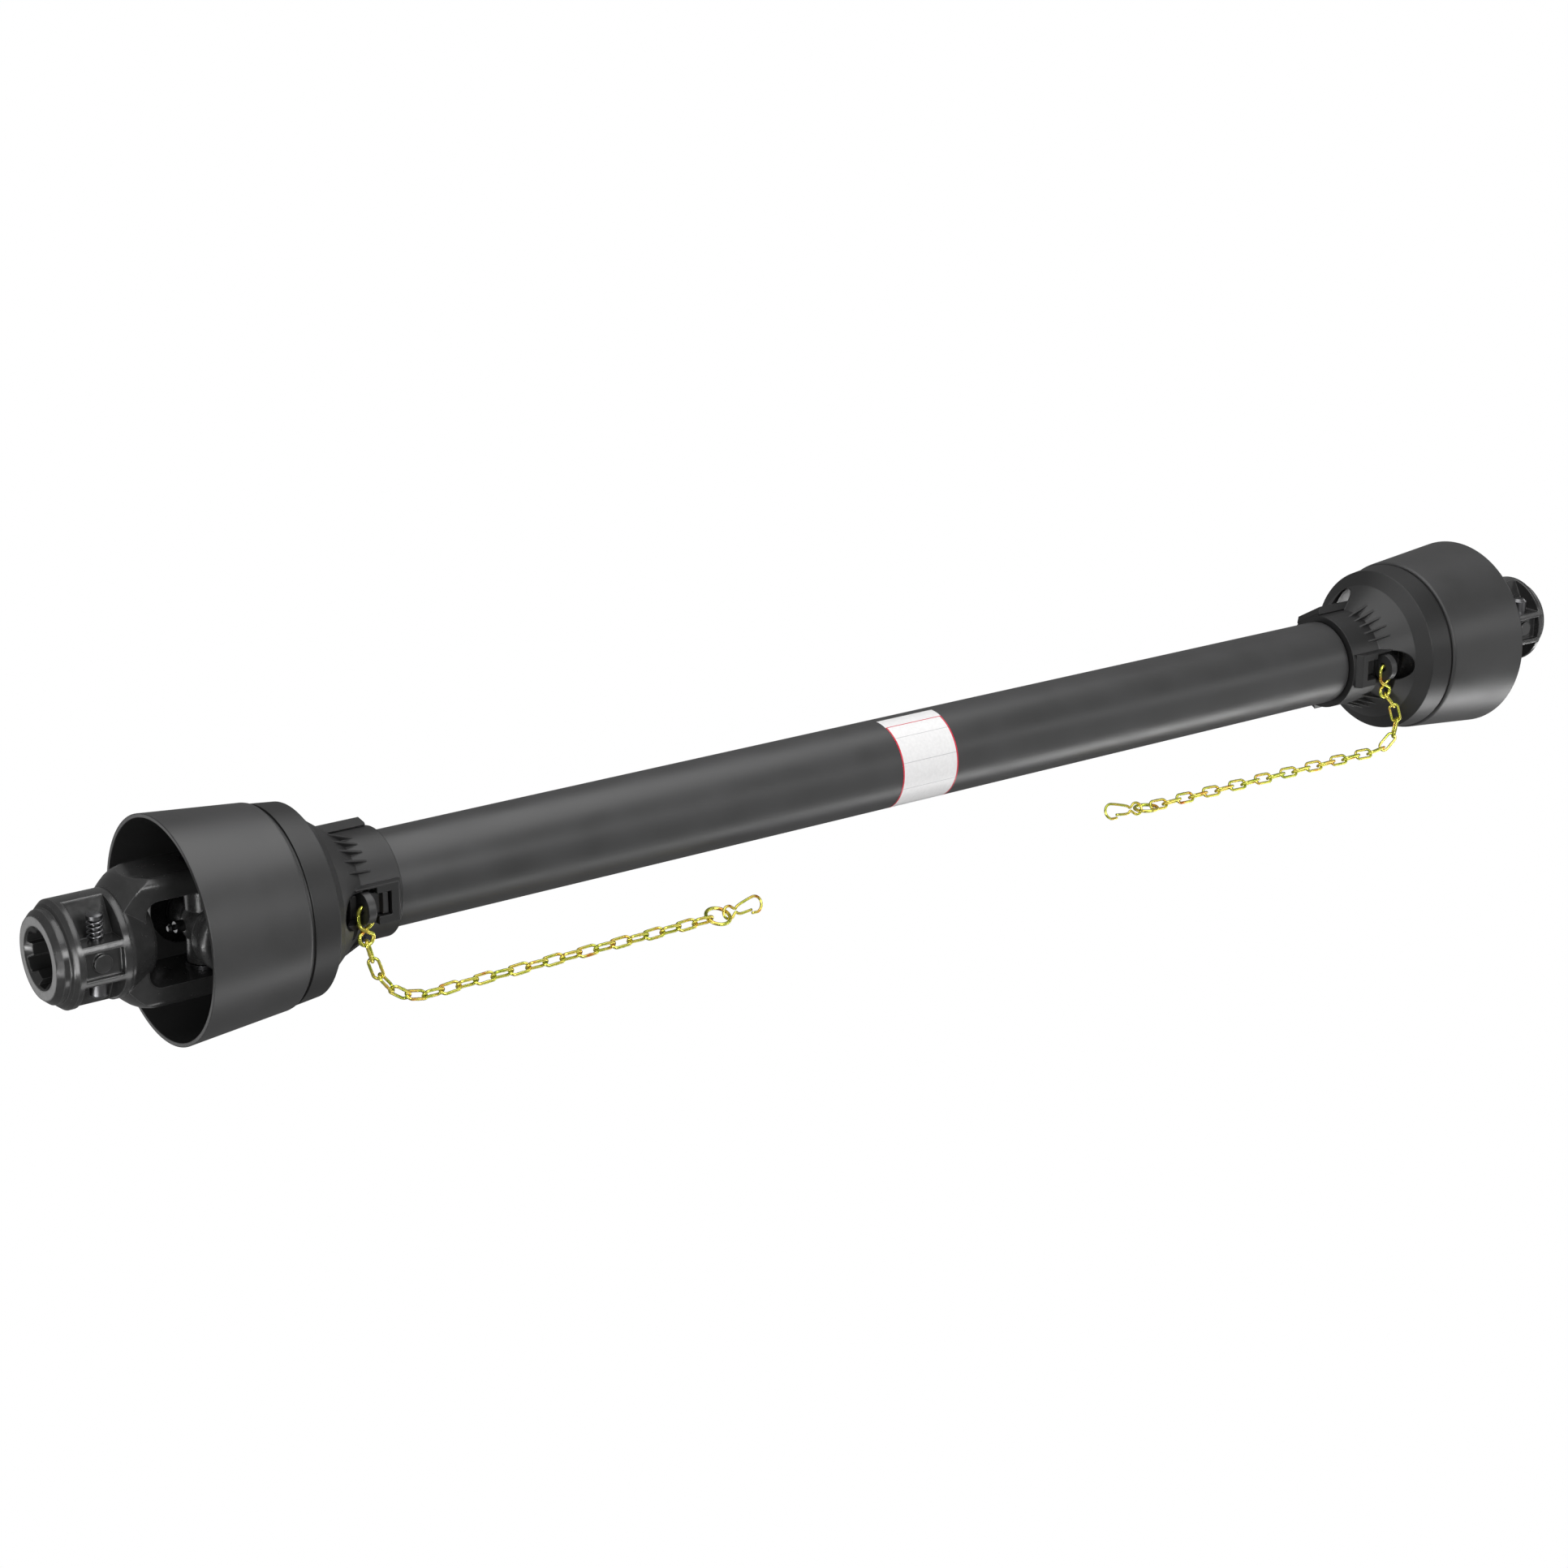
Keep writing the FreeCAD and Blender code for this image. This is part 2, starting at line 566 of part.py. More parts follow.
# Fork of a yoke, with its cross centre at the origin, its ears along Z and its hub along -X
def fork(hub, neck_x, neck_r):
    """hub is the turned hub; the turned outside starts at neck_x with radius neck_r."""
    height = 2 * ear_outer
    block = fuse(
        box((-root_depth, 0), (-ear_radius, ear_radius), (-ear_outer, ear_outer)),
        rod(ear_radius, height, (0, 0, -ear_outer), "z"),
    )
    doc.recompute()
    edges = []
    for number, edge in enumerate(block.Shape.Edges, 1):
        centre = edge.BoundBox
        level = abs(abs(centre.ZMin) - ear_outer.number) < 1e-6 and centre.ZLength < 1e-6
        root = abs(centre.XMax + root_depth.number) < 1e-6
        if level and not root:
            edges.append((number, arm_round.number, arm_round.number))
    rounded = add("Part::Fillet", "Rounded_arms")
    rounded.Base = block
    rounded.Edges = edges
    rise = crown_radius - neck_r
    flare = [(neck_x + crown_length * along, rise * up + neck_r)
             for along, up in ((0.0, 0.0), (0.09, 0.16), (0.2, 0.38), (0.34, 0.62), (0.5, 0.81), (0.72, 0.94), (1.0, 1.0))]
    outside = turned([(neck_x, 0)] + flare + [
        (ear_radius + 1.0, crown_radius),
        (ear_radius + 1.0, 0),
    ])
    block_gap = box((-crotch_depth, ear_radius + 1.0), (-crown_radius, crown_radius), (-ear_inner, ear_inner))
    block_gap.recompute()
    edges = []
    for number, edge in enumerate(block_gap.Shape.Edges, 1):
        limits = edge.BoundBox
        if limits.XLength < 1e-6 and limits.ZLength < 1e-6 and limits.XMax < 0:
            edges.append((number, crotch_round.number, crotch_round.number))
    gap = add("Part::Fillet", "Rounded_gap")
    gap.Base = block_gap
    gap.Edges = edges
    arms = cut(common(rounded, outside), gap)
    return fuse(arms, hub)


def ear_bores():
    """Cup bores and circlip grooves through both ears."""
    circlip_start = ear_outer - circlip_cover - circlip_thickness
    tools = [rod(cup_radius, 2 * crown_radius, (0, 0, -crown_radius), "z")]
    for start in (circlip_start, -circlip_start - circlip_thickness):
        tools.append(rod(cup_radius + circlip_bite, circlip_thickness, (0, 0, start), "z"))
    return tools


def spline_bore(start, length):
    """Six grooves between lands, as a solid to cut away."""
    grooves = []
    for number in range(spline_count // 2):
        slab = box((start, as_size(start) + length), (-spline_groove_width / 2, spline_groove_width / 2),
                   (-spline_major_radius - 2, spline_major_radius + 2))
        grooves.append(around(slab, 180 / (spline_count // 2) * number))
    limit = rod(spline_major_radius, length, (start, 0, 0), "x")
    return [rod(spline_minor_radius, length, (start, 0, 0), "x"), common(fuse(*grooves), limit)]


def splined_yoke(side):
    nose = -(nose_overhang + cross_inset)
    barrel_start = nose + nose_length
    barrel_end = barrel_start + barrel_length
    hub = turned([
        (nose, 0),
        (nose, nose_face_radius),
        (nose + nose_chamfer, nose_radius),
        (barrel_start, nose_radius),
        (barrel_start + 1.0, barrel_radius - 2.0),
        (barrel_start + 3.5, barrel_radius),
        (barrel_end - 1.2, barrel_radius),
        (barrel_end - 0.6, barrel_radius - 0.8),
        (barrel_end, barrel_radius - 0.8),
        (-root_depth + 3.0, barrel_radius - 1.0),
        (-boss_depth - 2.0, boss_radius + 1.5),
        (-boss_depth, boss_radius),
        (-boss_depth, 0),
    ])
    yoke = fork(hub, barrel_end, barrel_radius)
    window_x = (barrel_end - window_rim - window_length, barrel_end - window_rim)
    far = barrel_radius + 8
    windows = []
    for way in (1, -1):
        window = plate("YZ_Plane", [
            (-far, window_floor * way),
            (-window_foot, window_floor * way),
            (-window_edge, window_top * way),
            (-window_edge, far * way),
            (-far, far * way),
        ], window_length)
        windows.append(put(window, (window_x[0] + window_length / 2, 0, 0)))
    pocket = box((window_x[0] + pocket_rim, window_x[1] - pocket_rim), (-far, -pocket_depth),
                 (-pocket_width / 2, pocket_width / 2))
    pin_x = barrel_end - lock_place
    pin_hole = rod(lock_radius + running_gap, far, (pin_x, -lock_offset, -far - lock_shoulder + stop_gap), "z")
    stem_hole = rod(lock_stem_radius + running_gap, far, (pin_x, -lock_offset, -lock_shoulder), "z")
    mouth = spline_major_radius + lead_rim
    lead = taper(mouth, spline_minor_radius, mouth - spline_minor_radius, (nose, 0, 0), "x")
    bore = spline_bore(nose, nose_overhang + cross_inset)
    disc = rod(pocket_disc_radius, pocket_disc_height + 0.5,
               (pin_x, -pocket_depth - pocket_disc_height, 0), "y")
    body = fuse(cut(yoke, *windows, pocket), disc)
    done = cut(body, pin_hole, stem_hole, lead, *bore, *ear_bores())
    keep(done, "splined_yoke_" + side, side, cross_place)
    return pin_x


def lock_pin(side, pin_x):
    """Drawn along X from tail to head, then stood up along Z."""
    head_low = lock_head_top - lock_head_height
    pin = turned([
        (-lock_tail, 0),
        (-lock_tail, lock_radius - 2.0),
        (-lock_tail + 2.0, lock_radius),
        (-lock_shoulder - 1.0, lock_radius),
        (-lock_shoulder, lock_radius - 1.0),
        (-lock_shoulder, lock_stem_radius),
        (head_low, lock_stem_radius),
        (head_low, lock_head_radius),
        (lock_head_top - 1.2, lock_head_radius),
        (lock_head_top - 0.4, lock_head_radius - 1.4),
        (lock_head_top, lock_head_radius - 3.0),
        (lock_head_top, 0),
    ])
    stood = add("Part::Compound", "Stood_pin")
    stood.Links = [pin]
    put(pin, (pin_x, -lock_offset, 0), FreeCAD.Rotation(FreeCAD.Vector(0, 1, 0), -90))
    keep(stood, "lock_pin_" + side, side, cross_place)


def lock_spring(side, pin_x):
    low = window_floor + stop_gap / 3 + spring_wire / 2
    high = lock_head_top - lock_head_height - stop_gap / 3 - spring_wire / 2
    helix = add("Part::Helix", "Coil")
    bind(helix, "Height", high - low)
    bind(helix, "Radius", spring_radius)
    bind(helix, "Pitch", (high - low) / spring_turns)
    section = add("Part::RegularPolygon", "Wire_section")
    section.Polygon = 6
    bind(section, "Circumradius", spring_wire / 2)
    put(section, (spring_radius, 0, 0), FreeCAD.Rotation(FreeCAD.Vector(1, 0, 0), 90))
    coil = add("Part::Sweep", "Spring")
    coil.Sections = [section]
    coil.Spine = (helix, ["Edge1"])
    coil.Solid = True
    coil.Frenet = True
    stood = add("Part::Compound", "Placed_spring")
    stood.Links = [coil]
    put(coil, (pin_x, -lock_offset, low))
    keep(stood, "lock_spring_" + side, side, cross_place)


EARS_ALONG_Y = FreeCAD.Rotation(FreeCAD.Vector(1, 0, 0), 90).multiply(
    FreeCAD.Rotation(FreeCAD.Vector(0, 0, 1), 180))


def shaft_yoke(side, tube_corner, tube_round):
    groove_end = -groove_start - groove_width
    collar_end = groove_end - collar_length
    hub = turned([
        (-boss_depth, 0),
        (-boss_depth, boss_radius),
        (-root_depth + 8.0, shaft_hub_radius),
        (-groove_start, shaft_hub_radius),
        (-groove_start, groove_radius),
        (groove_end, groove_radius),
        (groove_end, collar_radius),
        (collar_end + 1.0, collar_radius),
        (collar_end, collar_radius - 1.0),
        (collar_end, 0),
    ])
    yoke = fork(hub, -root_depth - 3.0, shaft_hub_radius)
    socket = triangle_bar(tube_corner + seat_gap * 2, tube_round + seat_gap,
                          2 * crown_radius + collar_length, collar_end - 1.0,
                          90 if side == "left" else -90)
    cross_hole = rod(pin_radius, 2 * crown_radius, (-pin_depth, -crown_radius, 0), "y")
    done = cut(yoke, socket, cross_hole, *ear_bores())
    keep(done, "shaft_yoke_" + side, side, cross_place, EARS_ALONG_Y)


def profile_tube(name, side, corner, rounding, wall, length):
    """Three-lobed tube, drilled for the spring pin of its yoke."""
    angle = 0 if side == "left" else 180
    outer = triangle_bar(corner, rounding, length, 0, angle)
    inner = triangle_bar(corner - 2 * wall, rounding - wall, length + 2, -1, angle)
    hole = rod(pin_radius, 2 * crown_radius, (pin_depth - profile_inset, 0, -crown_radius), "z")
    keep(cut(outer, inner, hole), name, side, cross_place - profile_inset)


def spring_pin(side):
    """Slotted pin through the hub and the profile tube, along Z."""
    length = 2 * shaft_hub_radius - 2.0
    ring = cut(rod(pin_radius, length, (0, 0, -length / 2), "z"),
               rod(pin_radius - pin_wall, length + 2, (0, 0, -length / 2 - 1), "z"),
               box((0, pin_radius + 1), (-pin_slot / 2, pin_slot / 2), (-length / 2 - 1, length / 2 + 1)))
    keep(ring, "spring_pin_" + side, side, cross_place - pin_depth)


def cross_set(side):
    tip = cup_outer_face() - cup_floor - stop_gap
    rods = []
    for along in "yz":
        start = [0, 0, 0]
        start["xyz".index(along)] = -tip
        rods.append(rod(trunnion_radius, 2 * tip, start, along))
        start = [0, 0, 0]
        start["xyz".index(along)] = -shoulder_reach
        rods.append(rod(shoulder_radius, 2 * shoulder_reach, start, along))
    nipple_seat = rod(2.0 + seat_gap, hub_ball_radius, (-hub_ball_radius - 0.5, 0, 0), "x")
    nipple_face = rod(4.0, 2.0, (-hub_ball_radius - 1.5, 0, 0), "x")
    spider = cut(fuse(ball(hub_ball_radius, (0, 0, 0)), *rods), nipple_seat, nipple_face)
    keep(spider, "cross_" + side, side, cross_place)
    base = hub_ball_radius
    nipple = turned([
        (-base - nipple_length, 0),
        (-base - nipple_length, 1.6),
        (-base - nipple_length + 1.4, 2.6),
        (-base - nipple_length + 2.8, 1.7),
        (-base - nipple_length + 4.4, 1.7),
        (-base - nipple_length + 4.4, 3.4),
        (-base + 0.4, 3.4),
        (-base + 0.4, 2.0),
        (-base + 4.0, 2.0),
        (-base + 4.0, 0),
    ])
    keep(nipple, "grease_nipple_" + side, side, cross_place)
    seals = []
    for along in "yz":
        for sign in (-1, 1):
            start = [0, 0, 0]
            start["xyz".index(along)] = shoulder_reach if sign > 0 else -shoulder_reach - seal_width
            seals.append(cut(rod(shoulder_radius, seal_width, start, along),
                             rod(trunnion_radius, seal_width, start, along)))
    group = add("Part::Compound", "Seals")
    group.Links = seals
    keep(group, "cross_seals_" + side, side, cross_place)


def cup_outer_face():
    return ear_outer - circlip_cover - circlip_thickness - seat_gap


def cups(name, side, rotation):
    """Two closed cups on the Z trunnions, with their circlips."""
    face = cup_outer_face()
    mouth = shoulder_reach + seal_width + stop_gap
    pair = []
    clips = []
    for sign in (1, -1):
        wall_start = mouth if sign > 0 else -face
        well_start = mouth if sign > 0 else -(face - cup_floor)
        pair.append(cut(rod(cup_radius, face - mouth, (0, 0, wall_start), "z"),
                        rod(trunnion_radius + running_gap, face - cup_floor - mouth, (0, 0, well_start), "z")))
        clip_start = face + seat_gap if sign > 0 else -(face + seat_gap + circlip_thickness)
        clips.append(cut(
            rod(cup_radius + circlip_bite, circlip_thickness, (0, 0, clip_start), "z"),
            rod(cup_radius - 1.8, circlip_thickness, (0, 0, clip_start), "z"),
            box((cup_radius - 4.0, cup_radius + 3.0), (-4.5, 4.5), (clip_start, clip_start + circlip_thickness))))
    cup_group = add("Part::Compound", "Cups")
    cup_group.Links = pair
    keep(cup_group, "bearing_cups_%s_%s" % (name, side), side, cross_place, rotation)
    clip_group = add("Part::Compound", "Circlips")
    clip_group.Links = clips
    keep(clip_group, "circlips_%s_%s" % (name, side), side, cross_place, rotation)


# Chain
def bent_wire(corners, wire, closed=False):
    """Wire of eight-sided section along straight runs with mitred corners."""
    along = (corners[1] - corners[0]).normalize()
    start = corners[0]
    path = list(corners)
    if closed:
        start = (corners[0] + corners[1]) / 2
        path = [start] + corners[1:] + [corners[0], start]
    first = along.cross(FreeCAD.Vector(0.31, 0.47, 0.83)).normalize()
    second = along.cross(first)
    section = []
    for index in range(9):
        angle = math.pi * (index + 0.5) / 4
        section.append(start + (first * math.cos(angle) + second * math.sin(angle)) * (wire / 2))
    return Part.makePolygon(path).makePipeShell([Part.makePolygon(section)], True, False, 1)


def link_corners():
    """Centre line of a link in its own XY plane, long way along X, with bevelled ends."""
    half_length = (link_length.number - chain_wire.number) / 2
    half_width = (link_width.number - chain_wire.number) / 2
    bevel = half_width * 0.62
    return [FreeCAD.Vector(x, y, 0) for x, y in (
        (half_length - bevel, half_width), (half_length, half_width - bevel),
        (half_length, -half_width + bevel), (half_length - bevel, -half_width),
        (-half_length + bevel, -half_width), (-half_length, -half_width + bevel),
        (-half_length, half_width - bevel), (-half_length + bevel, half_width))]


def walk(route, step, count):
    """Points a step apart along a route of straight runs."""
    points = [route[0]]
    run = 0
    while len(points) <= count and run < len(route) - 1:
        here = points[-1]
        far = route[run + 1]
        if (far - here).Length < step:
            run += 1
            continue
        near = route[run] if (route[run] - here).Length < step else here
        low = 0.0
        high = 1.0
        for _ in range(40):
            middle = (low + high) / 2
            if ((near + (far - near) * middle) - here).Length < step:
                low = middle
            else:
                high = middle
        points.append(near + (far - near) * high)
    return points


def finish(shape, name):
    item = add("Part::Feature", "Wire_piece")
    item.Shape = shape
    item.Label = name
    parts.append(item)


def chain(side, route, count):
    """Links between the S-hook and the end ring; each link is a quarter turn from the last."""
    pitch = link_length.number - 2 * chain_wire.number - link_play.number
    points = walk(route, pitch, count)
    link = bent_wire(link_corners(), chain_wire.number, True)
    links = []
    for index in range(len(points) - 1):
        along = (points[index + 1] - points[index]).normalize()
        across = along.cross(FreeCAD.Vector(0, -1, 0)).normalize()
        lean = math.radians(link_lean.number) + (0 if index % 2 else math.pi / 2)
        width_way = across * math.cos(lean) + along.cross(across) * math.sin(lean)
        normal = along.cross(width_way)
        middle = (points[index] + points[index + 1]) / 2
        copy = link.copy()
        copy.Placement = FreeCAD.Placement(FreeCAD.Matrix(
            along.x, width_way.x, normal.x, middle.x,
            along.y, width_way.y, normal.y, middle.y,
            along.z, width_way.z, normal.z, middle.z,
            0, 0, 0, 1))
        links.append(copy)
    finish(Part.makeCompound(links), "chain_links_" + side)
    return points[-1], (points[-1] - points[-2]).normalize()


def chain_set(side, by_hand, count, hook_swing, ring_lean, snap_yaw):
    """S-hook in the lug, links, end ring and snap hook.

    by_hand is the route of the links: from the mouth plane inwards, across the shaft,
    height. Angles are in degrees."""
    sign = -1 if side == "left" else 1
    hole_place = ring_end.number - lug_thickness.number / 2 - stop_gap.number
    hole = FreeCAD.Vector(sign * (mouth_place.number - hole_place), -lug_distance.number,
                          bell_mouth_radius.number)
    bend = hook_bend.number
    drop = hook_drop.number
    shift = hook_wire.number / 2 + link_play.number
    steps = 8
    upper = [(bend * math.cos(angle), 0.0, bend * math.sin(angle) - hook_seat.number)
             for angle in (math.pi * step / steps for step in range(steps + 1))]
    lower = [(bend * math.cos(angle), 0.0, bend * math.sin(angle) - drop)
             for angle in (math.pi * step / steps for step in range(0, -steps - 1, -1))]
    top_of_cross = -lug_radius.number - 1.5
    foot_of_cross = -drop + 1.4
    middle = (top_of_cross + foot_of_cross) / 2
    closing = upper[0][2] - hook_wire.number * 0.3
    corners = upper + [(-bend, 0.0, top_of_cross), (0.0, -shift, middle), (bend, 0.0, foot_of_cross)]
    corners += lower + [(-bend, 0.0, foot_of_cross), (0.0, shift, middle), (bend, 0.0, top_of_cross)]
    corners.append((bend, 0.0, closing))
    swing = math.radians(hook_swing)
    hook = []
    for x, y, z in corners:
        out = x * math.cos(swing) - z * math.sin(swing)
        up = z * math.cos(swing) + x * math.sin(swing)
        hook.append(hole + FreeCAD.Vector(sign * out, y, up))
    finish(bent_wire(hook, hook_wire.number), "chain_hook_" + side)
    hang = drop + bend - hook_wire.number / 2 - ring_play.number
    out = hang * math.sin(swing)
    route = [hole + FreeCAD.Vector(sign * out, 0, -hang * math.cos(swing))]
    rest = (link_width.number - chain_wire.number) / 2 * math.cos(math.radians(link_lean.number))
    rest += chain_wire.number / 2
    for inward, y, z in by_hand:
        route.append(FreeCAD.Vector(sign * (mouth_place.number - inward), y, max(z, rest)))
    last, heading = chain(side, route, count)
    ring_and_snap(side, last, heading, math.radians(ring_lean), math.radians(snap_yaw))


def ring_and_snap(side, last, heading, ring_lean, snap_yaw):
    """End ring on the last link, and the wire snap hook that hangs in it, both on the floor."""
    radius = end_ring_radius.number
    wire = end_ring_wire.number
    up = FreeCAD.Vector(0, 0, 1)
    level = FreeCAD.Vector(heading.x, heading.y, 0).normalize()
    toward = FreeCAD.Vector(0, -1, 0)
    toward = (toward - level * toward.dot(level)).normalize()
    slope = toward * math.cos(ring_lean) + up * math.sin(ring_lean)
    centre = last + level * (radius - ring_play.number - wire / 2)
    centre.z = max(radius * abs(math.sin(ring_lean)) + wire / 2, last.z)
    corners = []
    for step in range(16):
        angle = 2 * math.pi * step / 16
        corners.append(centre + level * radius * math.cos(angle) + slope * radius * math.sin(angle))
    finish(bent_wire(corners, wire, True), "chain_ring_" + side)
    snap = snap_wire.number
    eye = snap_eye.number
    bow = (snap_width.number - snap) / 2
    length = snap_length.number - snap
    waist = snap * 0.5 + link_play.number
    turns = [math.radians(degrees) for degrees in (35, 70, 105, 140, 175, 210, 245, 280, 315)]
    loop = [(eye * math.cos(angle), eye * math.sin(angle)) for angle in turns]
    bow_place = length - eye - bow
    turns = [math.radians(degrees) for degrees in (-100, -65, -30, 5, 40, 75)]
    wide = [(bow_place + bow * math.cos(angle), bow * math.sin(angle)) for angle in turns]
    outline_points = [(bow_place - 3.0, bow - 2.6), (eye + 5.5, waist + 1.8), (eye + 1.2, waist)]
    outline_points += loop + [(eye + 1.2, -waist), (eye + 5.5, -waist - 2.0)] + wide
    outline_points += [(bow_place - 2.0, bow + 0.3)]
    tilt = math.radians(snap_lean.number)
    ahead = level * math.cos(snap_yaw) - toward * math.sin(snap_yaw)
    side_way = (toward - ahead * toward.dot(ahead)).normalize()
    rise = up * math.sin(tilt) - side_way * math.cos(tilt)
    eye_height = max(eye * math.sin(tilt) + snap / 2, centre.z)
    bow_height = bow * math.sin(tilt) + snap / 2
    start = centre + level * (radius - wire / 2 - ring_play.number) - ahead * (snap / 2)
    origin = start + ahead * eye
    origin.z = eye_height
    ahead = (ahead + up * (bow_height - eye_height) / bow_place).normalize()
    path = [origin + ahead * a + rise * b for a, b in outline_points]
    finish(bent_wire(path, snap), "snap_hook_" + side)


# Assembly
left_bore = guard_tube_radius + seat_gap
right_bore = inner_guard_radius + seat_gap
inner_corner = profile_corner - 2 * outer_profile_wall - 2 * profile_gap
inner_round = profile_round - outer_profile_wall - profile_gap

for side, neck_bore, corner, rounding in (
        ("left", left_bore, profile_corner, profile_round),
        ("right", right_bore, inner_corner, inner_round)):
    guard_bell(side)
    guard_cone(side, neck_bore)
    guard_bearing(side, neck_bore)
    lock_x = splined_yoke(side)
    lock_pin(side, lock_x)
    lock_spring(side, lock_x)
    cross_set(side)
    cups("splined_yoke", side, FreeCAD.Rotation())
    cups("shaft_yoke", side, EARS_ALONG_Y)
    shaft_yoke(side, corner, rounding)
    spring_pin(side)

guard_tubes()
tube_reach = 2 * cross_place - profile_inset
yoke_depth = groove_start + groove_width + collar_length
profile_tube("outer_profile_tube", "left", profile_corner, profile_round, outer_profile_wall,
             tube_reach - yoke_depth - outer_profile_end_gap)
profile_tube("inner_profile_tube", "right", inner_corner, inner_round, inner_profile_wall,
             tube_reach - pin_depth - inner_profile_end_gap)

# Routes of the two chains: from the mouth plane inwards, across the shaft, height
left_route = ((115.0, -36.0, 33.0), (119.8, -36.2, 21.0), (128.3, -36.0, 11.8), (139.5, -35.6, 5.5),
              (152.0, -34.5, 0.0), (165.0, -33.0, 0.0), (178.0, -32.0, 0.0), (260.0, -31.0, 0.0),
              (353.0, -30.0, 0.0), (430.0, -28.5, 0.0))
right_route = ((97.5, -38.5, 33.0), (96.0, -38.0, 20.0), (99.5, -36.5, 9.8), (108.5, -35.2, 2.0),
               (120.0, -34.5, 0.0), (143.0, -33.8, 0.0), (292.0, -31.0, 0.0), (400.0, -30.0, 0.0))
chain_set("left", left_route, 22, 0.0, -22.0, 0.0)
chain_set("right", right_route, 22, 4.0, 3.0, 8.0)

doc.recompute()

# Checks before anything is written
faults = []
for item in doc.Objects:
    if "Invalid" in item.State or "Error" in item.State:
        faults.append("%s %s %s" % (item.Name, item.Label, item.State))
for item in parts:
    shape = item.Shape
    if shape.isNull() or not shape.isValid() or not shape.Solids:
        faults.append("%s has no valid solid" % item.Label)
    if len({other.Label for other in parts}) != len(parts):
        faults.append("two sub-parts share a label")
if faults:
    raise RuntimeError("; ".join(faults))

os.makedirs("parts", exist_ok=True)
for item in parts:
    item.Shape.exportStep("parts/%s.step" % item.Label)
    print("%-28s %2d solids %10.1f mm3" % (item.Label, len(item.Shape.Solids), item.Shape.Volume))
print(len(parts), "sub-parts")
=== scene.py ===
import cmath
import math

import bpy
import numpy as np
from mathutils import Euler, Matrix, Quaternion, Vector


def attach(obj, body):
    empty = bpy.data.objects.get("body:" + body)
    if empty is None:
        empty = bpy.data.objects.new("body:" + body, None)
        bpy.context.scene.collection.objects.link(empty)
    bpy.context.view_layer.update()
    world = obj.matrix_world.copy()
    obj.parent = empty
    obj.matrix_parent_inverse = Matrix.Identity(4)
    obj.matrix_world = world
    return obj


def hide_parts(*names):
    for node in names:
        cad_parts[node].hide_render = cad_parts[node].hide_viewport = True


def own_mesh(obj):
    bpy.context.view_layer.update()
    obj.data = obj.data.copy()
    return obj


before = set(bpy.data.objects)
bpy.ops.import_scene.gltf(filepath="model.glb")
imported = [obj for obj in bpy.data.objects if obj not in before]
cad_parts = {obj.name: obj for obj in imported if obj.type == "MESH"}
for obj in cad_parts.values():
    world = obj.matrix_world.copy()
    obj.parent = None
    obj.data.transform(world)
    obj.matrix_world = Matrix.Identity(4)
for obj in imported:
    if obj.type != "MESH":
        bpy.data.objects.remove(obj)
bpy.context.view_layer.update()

# Sizes in metres
AXIS_Z = 0.0672
GUARD_RADIUS = 0.02925
FLOOR_Z, FLOOR_HALF = -0.0005, 3

LABEL_LOW, LABEL_HIGH = -0.0174, 0.0282
LABEL_EDGE = 0.0011
SHEET_RADIUS, PRINT_RADIUS = GUARD_RADIUS + 0.00006, GUARD_RADIUS + 0.00010

LINK_LONG = (0.01625 - 0.0019) / 2
LINK_WIDE = (0.0080 - 0.0019) / 2
LINK_WIRE, LINK_WELD = 0.00095, 1.13
RING_RADIUS, RING_WIRE = 0.0078, 0.00115
LUG_X, LUG_Y = 0.4162, -0.037
HOOK_WIRE, HOOK_BEND, HOOK_DROP, HOOK_SEAT, HOOK_SHIFT = 0.0024, 0.0046, 0.0180, 0.0032, 0.0014
SNAP_WIRE, SNAP_EYE, SNAP_BOW, SNAP_PLACE = 0.0018, 0.0040, 0.0051, 0.0201
SPRING_WIRE, SPRING_TURNS, SPRING_KEEP = 0.0012, 4, 0.42
COIL_STEPS = 24


